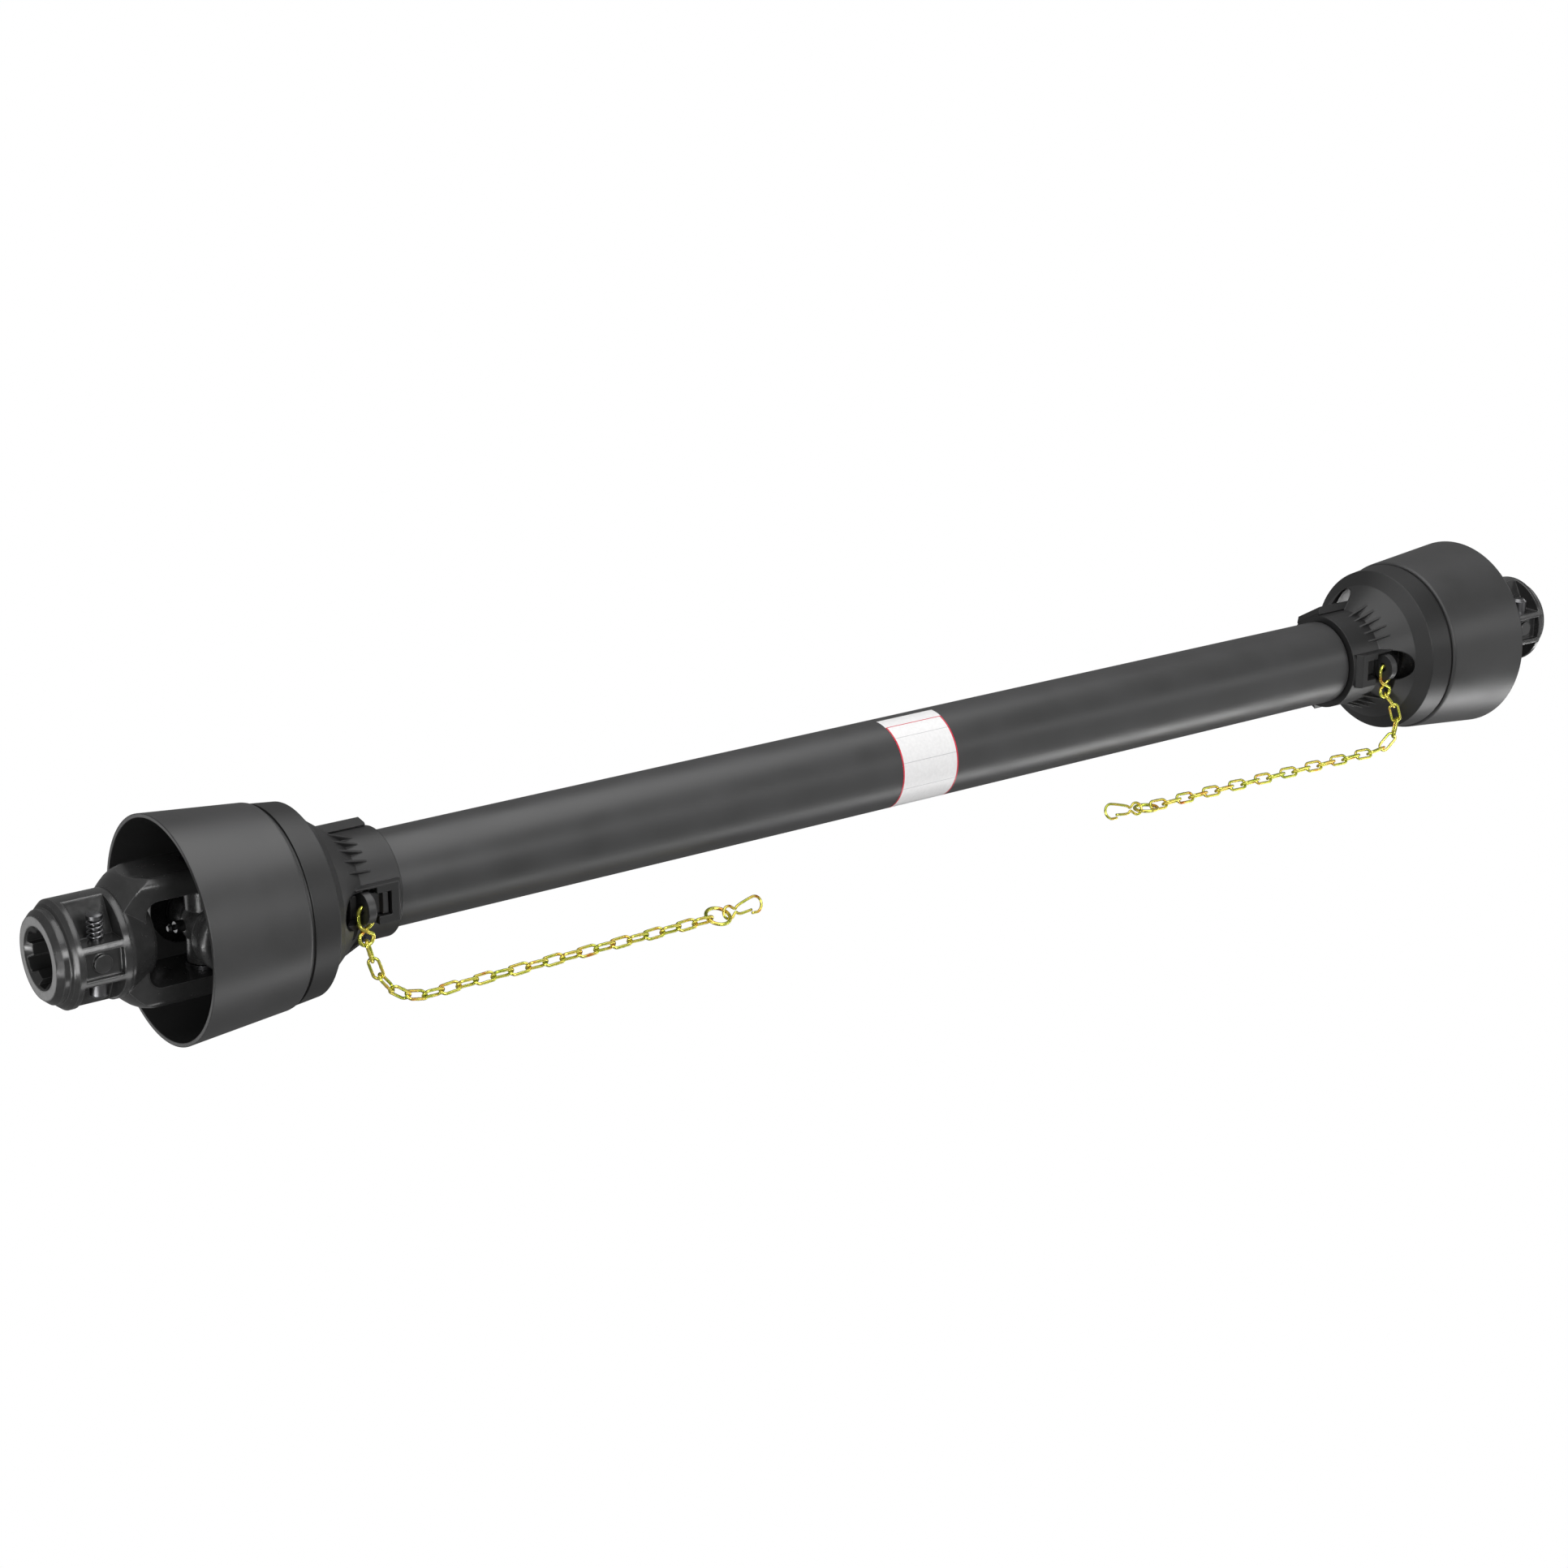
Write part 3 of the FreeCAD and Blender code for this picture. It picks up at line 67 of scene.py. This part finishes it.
# Node helpers
class Nodes:
    """A small builder for one material's node tree."""

    def __init__(self, name):
        self.material = bpy.data.materials.new(name)
        self.material.use_nodes = True
        self.tree = self.material.node_tree
        self.shader = self.tree.nodes["Principled BSDF"]
        self.output = self.tree.nodes["Material Output"]

    def add(self, kind, **values):
        node = self.tree.nodes.new(kind)
        for key, value in values.items():
            setattr(node, key, value)
        return node

    def link(self, source, target):
        self.tree.links.new(source, target)

    def place(self, stretch=(1, 1, 1)):
        """Object coordinates, stretched along each axis."""
        coordinates = self.add("ShaderNodeTexCoord")
        mapping = self.add("ShaderNodeMapping")
        mapping.inputs["Scale"].default_value = stretch
        self.link(coordinates.outputs["Object"], mapping.inputs["Vector"])
        return mapping.outputs["Vector"]

    def noise(self, scale, detail=3.0, stretch=(1, 1, 1), roughness=0.5):
        node = self.add("ShaderNodeTexNoise")
        node.inputs["Scale"].default_value = scale
        node.inputs["Detail"].default_value = detail
        node.inputs["Roughness"].default_value = roughness
        self.link(self.place(stretch), node.inputs["Vector"])
        return node.outputs["Fac"]

    def spread(self, value, low, high, from_low=0.3, from_high=0.7):
        """A value between from_low and from_high, moved to lie between low and high."""
        node = self.add("ShaderNodeMapRange")
        node.inputs["From Min"].default_value = from_low
        node.inputs["From Max"].default_value = from_high
        node.inputs["To Min"].default_value = low
        node.inputs["To Max"].default_value = high
        self.link(value, node.inputs["Value"])
        return node.outputs["Result"]

    def ramp(self, value, stops):
        node = self.add("ShaderNodeValToRGB")
        elements = node.color_ramp.elements
        while len(elements) < len(stops):
            elements.new(0.5)
        for element, (place, colour) in zip(elements, stops):
            element.position = place
            element.color = (*colour, 1)
        self.link(value, node.inputs["Fac"])
        return node.outputs["Color"]

    def mix(self, factor, first, second):
        node = self.add("ShaderNodeMix", data_type="RGBA")
        for index, value in ((6, first), (7, second)):
            if isinstance(value, tuple):
                node.inputs[index].default_value = (*value, 1)
            else:
                self.link(value, node.inputs[index])
        self.link(factor, node.inputs[0])
        return node.outputs[2]

    def bump(self, *layers, edge=0.0):
        """Bumps from (height, strength, distance) layers, coarse first, over edges rounded by edge."""
        normal = None
        if edge:
            bevel = self.add("ShaderNodeBevel", samples=6)
            bevel.inputs["Radius"].default_value = edge
            normal = bevel.outputs["Normal"]
        for height, strength, distance in layers:
            node = self.add("ShaderNodeBump")
            node.inputs["Strength"].default_value = strength
            node.inputs["Distance"].default_value = distance
            self.link(height, node.inputs["Height"])
            if normal:
                self.link(normal, node.inputs["Normal"])
            normal = node.outputs["Normal"]
        self.link(normal, self.shader.inputs["Normal"])

    def edge_wear(self, radius, low, high):
        """1 on convex edges, 0 on faces, from the bevel shader node."""
        bevel = self.add("ShaderNodeBevel", samples=4)
        bevel.inputs["Radius"].default_value = radius
        geometry = self.add("ShaderNodeNewGeometry")
        dot = self.add("ShaderNodeVectorMath", operation="DOT_PRODUCT")
        self.link(bevel.outputs["Normal"], dot.inputs[0])
        self.link(geometry.outputs["Normal"], dot.inputs[1])
        return self.spread(dot.outputs["Value"], 1.0, 0.0, low, high)

    def colour(self, source):
        self.link(source, self.shader.inputs["Base Color"])

    def rough(self, source):
        self.link(source, self.shader.inputs["Roughness"])

    def metal(self, value):
        self.shader.inputs["Metallic"].default_value = value


def plastic(name, shade, rough, grain, streak=0.0):
    """Black plastic with a fine grain, drawn along the shaft where it has a streak."""
    n = Nodes(name)
    mottle = n.noise(26, 4)
    fine = n.noise(1500, 2)
    lines = n.noise(300, 3, (0.01, 1, 1))
    n.colour(n.mix(n.spread(mottle, 0, 1), (shade * 0.9,) * 3,
                   (shade * 1.12, shade * 1.12, shade * 1.14)))
    n.rough(n.spread(mottle, rough - 0.04, rough + 0.05))
    n.shader.inputs["Specular IOR Level"].default_value = 0.5
    layers = [(fine, grain, 0.00012)]
    if streak:
        layers.insert(0, (lines, streak, 0.0002))
    n.bump(*layers, edge=0.0010)
    return n.material


def cast(name, shade, rough, relief):
    """Painted forging: scale and pits under the paint, paler on its edges, partly from wear and partly
    as a painted highlight.
    """
    n = Nodes(name)
    coarse = n.noise(160, 5, roughness=0.6)
    pits = n.noise(700, 3)
    wear_and_highlight = n.edge_wear(0.0007, 0.86, 0.99)
    base = n.mix(n.spread(coarse, 0, 1), (shade * 0.9,) * 3, (shade * 1.1,) * 3)
    # Paler edges: partly worn paint, partly a painted highlight where the edges would catch the light.
    n.colour(n.mix(wear_and_highlight, base, (shade * 3.0,) * 3))
    n.rough(n.spread(coarse, rough - 0.06, rough + 0.10))
    n.metal(0.5)
    n.bump((coarse, relief * 0.6, 0.0006), (pits, relief, 0.0003), edge=0.0016)
    return n.material


def steel(name, colour, rough, stretch=(1, 1, 1)):
    """Bare steel with a fine grain, and darker where it is stained."""
    n = Nodes(name)
    grain = n.noise(400, 3, stretch)
    stain = n.noise(60, 4)
    dark = tuple(c * 0.7 for c in colour)
    n.colour(n.mix(n.spread(stain, 0, 1), dark, colour))
    n.rough(n.spread(grain, rough - 0.07, rough + 0.1))
    n.metal(1.0)
    n.bump((grain, 0.15, 0.0002), edge=0.0003)
    return n.material


def zinc(name):
    """Yellow chromate: gold with greenish and orange passages."""
    n = Nodes(name)
    hue = n.noise(130, 3)
    film = n.noise(240, 3)
    n.colour(n.ramp(hue, ((0.3, (0.42, 0.50, 0.05)), (0.46, (0.70, 0.70, 0.12)),
                          (0.60, (0.86, 0.68, 0.13)), (0.70, (0.62, 0.20, 0.03)))))
    n.rough(n.spread(film, 0.15, 0.25))
    n.metal(0.8)
    return n.material


def rubber(name):
    """Dull black rubber."""
    n = Nodes(name)
    fine = n.noise(800, 3)
    n.colour(n.mix(n.spread(fine, 0, 1), (0.012,) * 3, (0.022,) * 3))
    n.rough(n.spread(fine, 0.6, 0.75))
    n.bump((fine, 0.25, 0.0002))
    return n.material


def paper(name):
    """White coated sheet."""
    n = Nodes(name)
    fine = n.noise(500, 3)
    n.colour(n.mix(n.spread(fine, 0, 1), (0.72, 0.715, 0.715), (0.78, 0.775, 0.775)))
    n.rough(n.spread(fine, 0.35, 0.42))
    return n.material


def ink(name, colour):
    """Plain print on the sheet."""
    n = Nodes(name)
    fine = n.noise(700, 2)
    n.colour(n.mix(n.spread(fine, 0, 1), tuple(c * 0.85 for c in colour), colour))
    n.rough(n.spread(fine, 0.35, 0.45))
    return n.material


tube_plastic = plastic("extruded_plastic", 0.036, 0.40, 0.05, streak=0.12)
guard_plastic = plastic("moulded_plastic", 0.036, 0.40, 0.12)
# Darker copy of the guard plastic: painted shade on the cones.
cone_plastic = plastic("cone_plastic", 0.012, 0.44, 0.12)
# Darker copy of the guard plastic: painted shade on the bearing rings.
ring_plastic = plastic("ring_plastic", 0.026, 0.40, 0.10)
yoke_paint = cast("painted_forging", 0.060, 0.19, 0.09)
# A little darker than the outer forging paint, as painted shade for the parts inside the bells; also
# rougher, with a coarser skin.
inner_paint_shaded = cast("painted_forging_inner", 0.055, 0.26, 0.16)
dark_steel = steel("dark_steel", (0.12, 0.12, 0.125), 0.35)
bright_steel = steel("bright_steel", (0.20, 0.20, 0.205), 0.34)
spring_steel = steel("spring_steel", (0.30, 0.30, 0.31), 0.28)
pin_steel = steel("pin_steel", (0.17, 0.17, 0.175), 0.38)
tube_steel = steel("drawn_steel", (0.22, 0.22, 0.225), 0.36, stretch=(0.02, 1, 1))
zinc_yellow = zinc("yellow_zinc")
seal_rubber = rubber("seal_rubber")
label_white = paper("label_white")
label_red = ink("label_red", (0.62, 0.02, 0.05))
label_grey = ink("label_grey", (0.50, 0.50, 0.51))

by_name = {
    "splined_yoke": yoke_paint, "lock_pin": pin_steel, "lock_spring": spring_steel,
    "cross": inner_paint_shaded, "grease_nipple": bright_steel, "cross_seals": seal_rubber,
    "bearing_cups_splined_yoke": dark_steel, "circlips_splined_yoke": dark_steel,
    "bearing_cups_shaft_yoke": dark_steel, "circlips_shaft_yoke": dark_steel,
    "shaft_yoke": inner_paint_shaded, "spring_pin": dark_steel, "guard_bearing": ring_plastic,
    "guard_bell": guard_plastic, "guard_cone": cone_plastic, "chain_hook": zinc_yellow,
    "chain_links": zinc_yellow, "chain_ring": zinc_yellow, "snap_hook": zinc_yellow,
    "outer_profile_tube": tube_steel, "inner_profile_tube": tube_steel,
    "outer_guard_tube": tube_plastic, "inner_guard_tube": tube_plastic,
}
for name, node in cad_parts.items():
    stem = name.replace("_left", "").replace("_right", "")
    node.data.materials.clear()
    node.data.materials.append(by_name[stem])


# Pieces of the scene's own
def new_piece(name, vertices, faces, material, body):
    """A smooth mesh that rides on a body."""
    mesh = bpy.data.meshes.new(name)
    mesh.from_pydata([tuple(v) for v in vertices], [], faces)
    mesh.update()
    mesh.materials.append(material)
    for polygon in mesh.polygons:
        polygon.use_smooth = True
    piece = bpy.data.objects.new(name, mesh)
    bpy.context.scene.collection.objects.link(piece)
    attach(piece, body)
    return piece


def patch(name, x_range, angles, radius, material, steps=60):
    """Part of a cylinder round the guard tube; angles are up from the front, in degrees."""
    row = 3
    vertices = []
    for i in range(steps + 1):
        angle = math.radians(angles[0] + (angles[1] - angles[0]) * i / steps)
        for k in range(row):
            x = x_range[0] + (x_range[1] - x_range[0]) * k / (row - 1)
            vertices.append((x, -radius * math.cos(angle), AXIS_Z + radius * math.sin(angle)))
    faces = []
    for i in range(steps):
        for k in range(row - 1):
            a = i * row + k
            faces.append((a, a + 1, a + 1 + row, a + row))
    new_piece(name, vertices, faces, material, "guard_outer")


# The label is blank, with its red edges and grey dividers
INNER_LOW, INNER_HIGH = LABEL_LOW + LABEL_EDGE, LABEL_HIGH - LABEL_EDGE
patch("label_sheet", (LABEL_LOW, LABEL_HIGH), (-61, 89), SHEET_RADIUS, label_white)
patch("label_edge_1", (LABEL_LOW, INNER_LOW), (-61, 69.9), PRINT_RADIUS, label_red)
patch("label_edge_2", (INNER_HIGH, LABEL_HIGH), (-61, 69.9), PRINT_RADIUS, label_red)
patch("label_head_line", (LABEL_LOW, LABEL_HIGH), (68.9, 70.1), PRINT_RADIUS, label_red, steps=2)
for number, angle in enumerate((49.7, 15.4, -19.5, -55), 1):
    patch("label_divider_%d" % number, (INNER_LOW, INNER_HIGH), (angle - 0.35, angle + 0.35),
          PRINT_RADIUS, label_grey, steps=2)


# Chains and springs, in smooth wire
def loops(node):
    """The separate solids of a CAD node, each as its vertex positions."""
    mesh = node.data
    points = np.empty(len(mesh.vertices) * 3)
    mesh.vertices.foreach_get("co", points)
    points = points.reshape(-1, 3)
    spots, index = np.unique(np.round(points, 7), axis=0, return_inverse=True)
    index = index.ravel()
    leader = list(range(len(spots)))

    def root(a):
        while leader[a] != a:
            leader[a] = leader[leader[a]]
            a = leader[a]
        return a

    for polygon in mesh.polygons:
        corners = [index[v] for v in polygon.vertices]
        for other in corners[1:]:
            leader[root(other)] = root(corners[0])
    groups = {}
    for a in range(len(spots)):
        groups.setdefault(root(a), []).append(spots[a])
    return [np.array(group) for group in groups.values()]


def lie_of(points):
    """Middle and the long, wide and thin directions of a flat closed piece."""
    middle = points.mean(0)
    directions = np.linalg.svd(points - middle)[2]
    return middle, directions


def lifted(points, wire):
    """The same points, raised where the wire would dip into the floor."""
    lift = np.array((0, 0, max(0.0, wire - min(p[2] for p in points))))
    return [p + lift for p in points]


def swept(path, radii, closed, sides=14):
    """Vertices and faces of a round wire along a smooth path; radii holds one radius a point."""
    count = len(path)
    path = np.asarray(path)
    ahead = np.roll(path, -1, 0) - np.roll(path, 1, 0)
    if not closed:
        ahead[0] = path[1] - path[0]
        ahead[-1] = path[-1] - path[-2]
    ahead /= np.linalg.norm(ahead, axis=1)[:, None]
    normal = np.cross(ahead[0], (0.31, 0.47, 0.83))
    vertices = []
    for i in range(count):
        normal = normal - ahead[i] * (normal @ ahead[i])
        normal /= np.linalg.norm(normal)
        side = np.cross(ahead[i], normal)
        for k in range(sides):
            angle = 2 * math.pi * k / sides
            vertices.append(path[i] + radii[i] * (normal * math.cos(angle) + side * math.sin(angle)))
    shift = 0
    if closed:
        turned = normal - ahead[0] * (normal @ ahead[0])
        first = np.asarray(vertices[0]) - path[0]
        second = np.cross(ahead[0], first / np.linalg.norm(first))
        angle = math.atan2(turned @ second, turned @ first / np.linalg.norm(first))
        shift = round(angle / (2 * math.pi) * sides)
    faces = []
    for i in range(count if closed else count - 1):
        for k in range(sides):
            a = i * sides + k
            b = i * sides + (k + 1) % sides
            if i == count - 1:
                faces.append((a, b, (k + 1 + shift) % sides, (k + shift) % sides))
            else:
                faces.append((a, b, b + sides, a + sides))
    if not closed:
        faces.append(tuple(reversed(range(sides))))
        faces.append(tuple(range((count - 1) * sides, count * sides)))
    return vertices, faces


def smooth(corners, steps=4):
    """Points on a rounded open line through the corners."""
    corners = [np.asarray(c, float) for c in corners]
    last = len(corners) - 1
    line = []
    for i in range(last):
        a, b = corners[max(i - 1, 0)], corners[i]
        c, d = corners[i + 1], corners[min(i + 2, last)]
        for k in range(steps):
            t = k / steps
            line.append(0.5 * (2 * b + (c - a) * t + (2 * a - 5 * b + 4 * c - d) * t ** 2
                               + (3 * b - a - 3 * c + d) * t ** 3))
    line.append(corners[-1])
    return line


def link_line(middle, directions):
    """Centre line of a long link, and its wire's radius with the weld on one side."""
    line, radii = [], []
    straight = LINK_LONG - LINK_WIDE
    for sign in (1, -1):
        for k in range(13):
            angle = -math.pi / 2 + math.pi * k / 12
            line.append((sign * (straight + LINK_WIDE * math.cos(angle)),
                         sign * LINK_WIDE * math.sin(angle)))
            radii.append(LINK_WIRE)
        for k in (1, 2, 3, 4, 5):
            line.append((sign * straight * (1 - k / 3), sign * LINK_WIDE))
            radii.append(LINK_WIRE * (LINK_WELD if sign > 0 and k == 3 else 1.0))
    points = [middle + directions[0] * a + directions[1] * b for a, b in line]
    return lifted(points, LINK_WIRE), radii


def s_hook(side, swing):
    """S-hook through the lug, swung by some degrees; its strands cross between the two bends."""
    sign = -1 if side == "left" else 1
    hole = Vector((sign * LUG_X, LUG_Y, AXIS_Z))
    half_turn = [math.pi * k / 12 for k in range(13)]
    strand = ((1.0, 0.0, -0.0070), (0.96, 0.1, -0.0095), (0.72, 0.6, -0.0116), (0, 1.0, -0.01375),
              (-0.72, 0.6, -0.0159), (-0.96, 0.1, -0.0172))
    line = [(HOOK_BEND * math.cos(a), 0, HOOK_BEND * math.sin(a) - HOOK_SEAT) for a in half_turn]
    line += [(-HOOK_BEND * x, -sign * HOOK_SHIFT * y, z) for x, y, z in strand]
    line += [(HOOK_BEND * math.cos(a), 0, -HOOK_BEND * math.sin(a) - HOOK_DROP) for a in half_turn]
    line += [(HOOK_BEND * x, sign * HOOK_SHIFT * y, z) for x, y, z in reversed(strand)]
    line.append((HOOK_BEND, 0, -HOOK_SEAT - 0.0001))
    turn = math.radians(swing)
    path = [hole + Vector((sign * (x * math.cos(turn) - z * math.sin(turn)), y,
                           z * math.cos(turn) + x * math.sin(turn))) for x, y, z in line]
    points = smooth(path)
    return swept(points, [HOOK_WIRE / 2] * len(points), False, 16)


def snap(origin, ahead, rise):
    """Wire snap hook in the plane of ahead and rise: gate wire, waist, eye, waist and wide bow."""
    origin, ahead, rise = Vector(origin), Vector(ahead), Vector(rise)
    waist = SNAP_WIRE * 0.5 + 0.0002
    line = [(0.0171, 0.0026), (0.0095, 0.0029), (0.0067, 0.0023), (0.0052, waist)]
    line += [(SNAP_EYE * math.cos(math.radians(a)), SNAP_EYE * math.sin(math.radians(a)))
             for a in range(35, 326, 29)]
    line += [(0.0052, -waist), (0.0067, -0.0022), (0.0095, -0.0031), (0.0150, -0.0043)]
    line += [(SNAP_PLACE + SNAP_BOW * math.cos(math.radians(a)), SNAP_BOW * math.sin(math.radians(a)))
             for a in range(-100, 81, 20)]
    line.append((0.0168, 0.0047))
    points = smooth([origin + ahead * a + rise * b for a, b in line])
    return swept(points, [SNAP_WIRE / 2] * len(points), False)


def gather(name, shapes, body, node):
    """One zinc piece from some wires, in the place of a CAD node."""
    vertices, faces = [], []
    for some_vertices, some_faces in shapes:
        base = len(vertices)
        vertices += list(some_vertices)
        faces += [tuple(v + base for v in face) for face in some_faces]
    piece = new_piece(name, vertices, faces, zinc_yellow, body)
    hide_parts(node)


def closed_ring(points):
    """Round ring that lies as the CAD ring's points do."""
    middle, directions = lie_of(points)
    line = [middle + RING_RADIUS * (directions[0] * math.cos(a) + directions[1] * math.sin(a))
            for a in (2 * math.pi * k / 40 for k in range(40))]
    return swept(lifted(line, RING_WIRE), [RING_WIRE] * len(line), True)


def coil(side):
    """Round wire coil in the place of the CAD coil, with its hand and phase."""
    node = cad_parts["lock_spring_" + side]
    points = np.array([tuple(node.matrix_world @ v.co) for v in node.data.vertices])
    low, high = points.min(0), points.max(0)
    centre = (low + high) / 2
    radius = (high[0] - low[0] - SPRING_WIRE) / 2
    pitch = (high[2] - low[2] - SPRING_WIRE) / SPRING_TURNS
    angles = np.arctan2(points[:, 1] - centre[1], points[:, 0] - centre[0])
    lead = 2 * math.pi * (points[:, 2] - low[2] - SPRING_WIRE / 2) / pitch
    hand, start = max(((h, np.exp(1j * (angles - h * lead)).mean()) for h in (1, -1)),
                      key=lambda pair: abs(pair[1]))
    line = []
    for k in range(SPRING_TURNS * COIL_STEPS + 1):
        turn = 2 * math.pi * k / COIL_STEPS
        at = cmath.phase(start) + hand * turn
        line.append((centre[0] + radius * math.cos(at), centre[1] + radius * math.sin(at),
                     low[2] + SPRING_WIRE / 2 + pitch * turn / (2 * math.pi)))
    vertices, faces = swept(line, [SPRING_WIRE / 2] * len(line), False, 12)
    piece = new_piece("round_spring_" + side, vertices, faces, spring_steel, "yoke_" + side)
    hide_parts("lock_spring_" + side)
    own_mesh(piece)


for side in ("left", "right"):
    coil(side)

for side, body in (("left", "guard_outer"), ("right", "guard_inner")):
    shapes = [swept(*link_line(*lie_of(points)), True, 12)
              for points in loops(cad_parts["chain_links_" + side])]
    gather("smooth_links_" + side, shapes, body, "chain_links_" + side)
    ring = loops(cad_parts["chain_ring_" + side])[0]
    gather("smooth_ring_" + side, [closed_ring(ring)], body, "chain_ring_" + side)

gather("smooth_hook_left", [s_hook("left", 0)], "guard_outer", "chain_hook_left")
gather("smooth_hook_right", [s_hook("right", 4)], "guard_inner", "chain_hook_right")
snap_left = snap((-0.155965, -0.029740, 0.004609), (0.998628, 0.013183, 0.050676),
                 (0.004945, -0.374574, -0.927184))
snap_right = snap((0.185917, -0.030114, 0.004609), (-0.987666, 0.148145, 0.050676),
                  (-0.055568, -0.370462, -0.927184))
gather("smooth_snap_left", [snap_left], "guard_outer", "snap_hook_left")
gather("smooth_snap_right", [snap_right], "guard_inner", "snap_hook_right")


# Floor: white like the photograph's ground, clear to light and from below
def floor():
    """A plane just below the part."""
    n = Nodes("floor_white")
    n.tree.nodes.remove(n.shader)
    paths = n.add("ShaderNodeLightPath")
    geometry = n.add("ShaderNodeNewGeometry")
    seen = n.add("ShaderNodeMath", operation="SUBTRACT")
    n.link(paths.outputs["Is Camera Ray"], seen.inputs[0])
    n.link(geometry.outputs["Backfacing"], seen.inputs[1])
    clear = n.add("ShaderNodeBsdfTransparent")
    white = n.add("ShaderNodeEmission")
    choice = n.add("ShaderNodeMixShader")
    n.link(seen.outputs["Value"], choice.inputs["Fac"])
    n.link(clear.outputs["BSDF"], choice.inputs[1])
    n.link(white.outputs["Emission"], choice.inputs[2])
    n.link(choice.outputs["Shader"], n.output.inputs["Surface"])
    mesh = bpy.data.meshes.new("floor")
    mesh.from_pydata([(x * FLOOR_HALF, y * FLOOR_HALF, FLOOR_Z)
                      for x, y in ((-1, -1), (1, -1), (1, 1), (-1, 1))], [], [(0, 1, 2, 3)])
    mesh.materials.append(n.material)
    plane = bpy.data.objects.new("floor", mesh)
    bpy.context.scene.collection.objects.link(plane)


floor()


# Light and camera
scene = bpy.context.scene
scene.view_settings.view_transform = "Standard"

# The world is white to the camera and a dim room, paler above, to everything else
world = bpy.data.worlds.new("studio")
scene.world = world
world.use_nodes = True
tree = world.node_tree
tree.nodes.clear()
out = tree.nodes.new("ShaderNodeOutputWorld")
paths = tree.nodes.new("ShaderNodeLightPath")
seen = tree.nodes.new("ShaderNodeBackground")
seen.inputs["Color"].default_value = (1, 1, 1, 1)
seen.inputs["Strength"].default_value = 1.0
room = tree.nodes.new("ShaderNodeBackground")
where = tree.nodes.new("ShaderNodeTexCoord")
split = tree.nodes.new("ShaderNodeSeparateXYZ")
tree.links.new(where.outputs["Generated"], split.inputs["Vector"])
fade = tree.nodes.new("ShaderNodeValToRGB")
tree.links.new(split.outputs["Z"], fade.inputs["Fac"])
for stop, (position, grey) in zip(fade.color_ramp.elements, ((0.0, 0.55), (0.8, 0.9))):
    stop.position = position
    stop.color = (grey, grey, grey, 1)
tree.links.new(fade.outputs["Color"], room.inputs["Color"])
room.inputs["Strength"].default_value = 0.34
choice = tree.nodes.new("ShaderNodeMixShader")
tree.links.new(paths.outputs["Is Camera Ray"], choice.inputs["Fac"])
tree.links.new(room.outputs["Background"], choice.inputs[1])
tree.links.new(seen.outputs["Background"], choice.inputs[2])
tree.links.new(choice.outputs["Shader"], out.inputs["Surface"])


def lamp(name, place, aim, size, power, roll=0.0):
    """A rectangular lamp at place that faces aim, rolled about its own axis in degrees."""
    light = bpy.data.lights.new(name, "AREA")
    light.shape = "RECTANGLE"
    light.size, light.size_y = size
    light.energy = power
    item = bpy.data.objects.new(name, light)
    item.location = place
    facing = (Vector(aim) - Vector(place)).to_track_quat("-Z", "Y")
    item.rotation_euler = (facing @ Quaternion((0, 0, 1), math.radians(roll))).to_euler()
    scene.collection.objects.link(item)


lamp("softbox_above", (0.0, -0.25, 1.14), (0.0, -0.27, 0.07), (1.9, 1.0), 13, 52)
lamp("strip_below", (1.5, -0.22, -0.85), (1.5, 0, 0.07), (1.7, 0.28), 10.5, -14)
lamp("strip_below_left", (0.2, -0.55, -0.85), (0.2, 0, 0.07), (1.0, 0.26), 2.2, -10)
lamp("fill_front", (-0.1, -2.2, 0.8), (0, 0, 0.07), (1.0, 0.6), 23)
lamp("fill_right", (1.7, -1.55, 0.62), (0.2, 0, 0.07), (0.9, 0.5), 3.6)
lamp("floor_right", (2.2, -1.8, -0.5), (0.2, 0, 0.07), (1.5, 1.3), 4)
lamp("rim_left_back", (-1.15, 1.09, -0.39), (-0.6, 0, 0.07), (0.6, 0.5), 1.2)
lamp("rim_left_low", (-1.79, -0.35, -0.49), (-0.6, 0, 0.07), (0.6, 0.15), 4.5)
lamp("strip_left_front", (-1.45, -0.72, -0.02), (-0.56, -0.03, 0.07), (0.12, 0.9), 4.5)
lamp("rim_right", (1.6, 0.1, -0.05), (-0.4, 0, 0.07), (0.3, 1.4), 4)

camera_data = bpy.data.cameras.new("camera")
camera_data.lens = 74.98
camera_data.sensor_width = 36
camera = bpy.data.objects.new("camera", camera_data)
camera.location = (-1.2639, -1.5877, 0.7194)
camera.rotation_euler = Euler((math.radians(90 - 18.25), 0, math.radians(-36.45)))
scene.collection.objects.link(camera)
scene.camera = camera
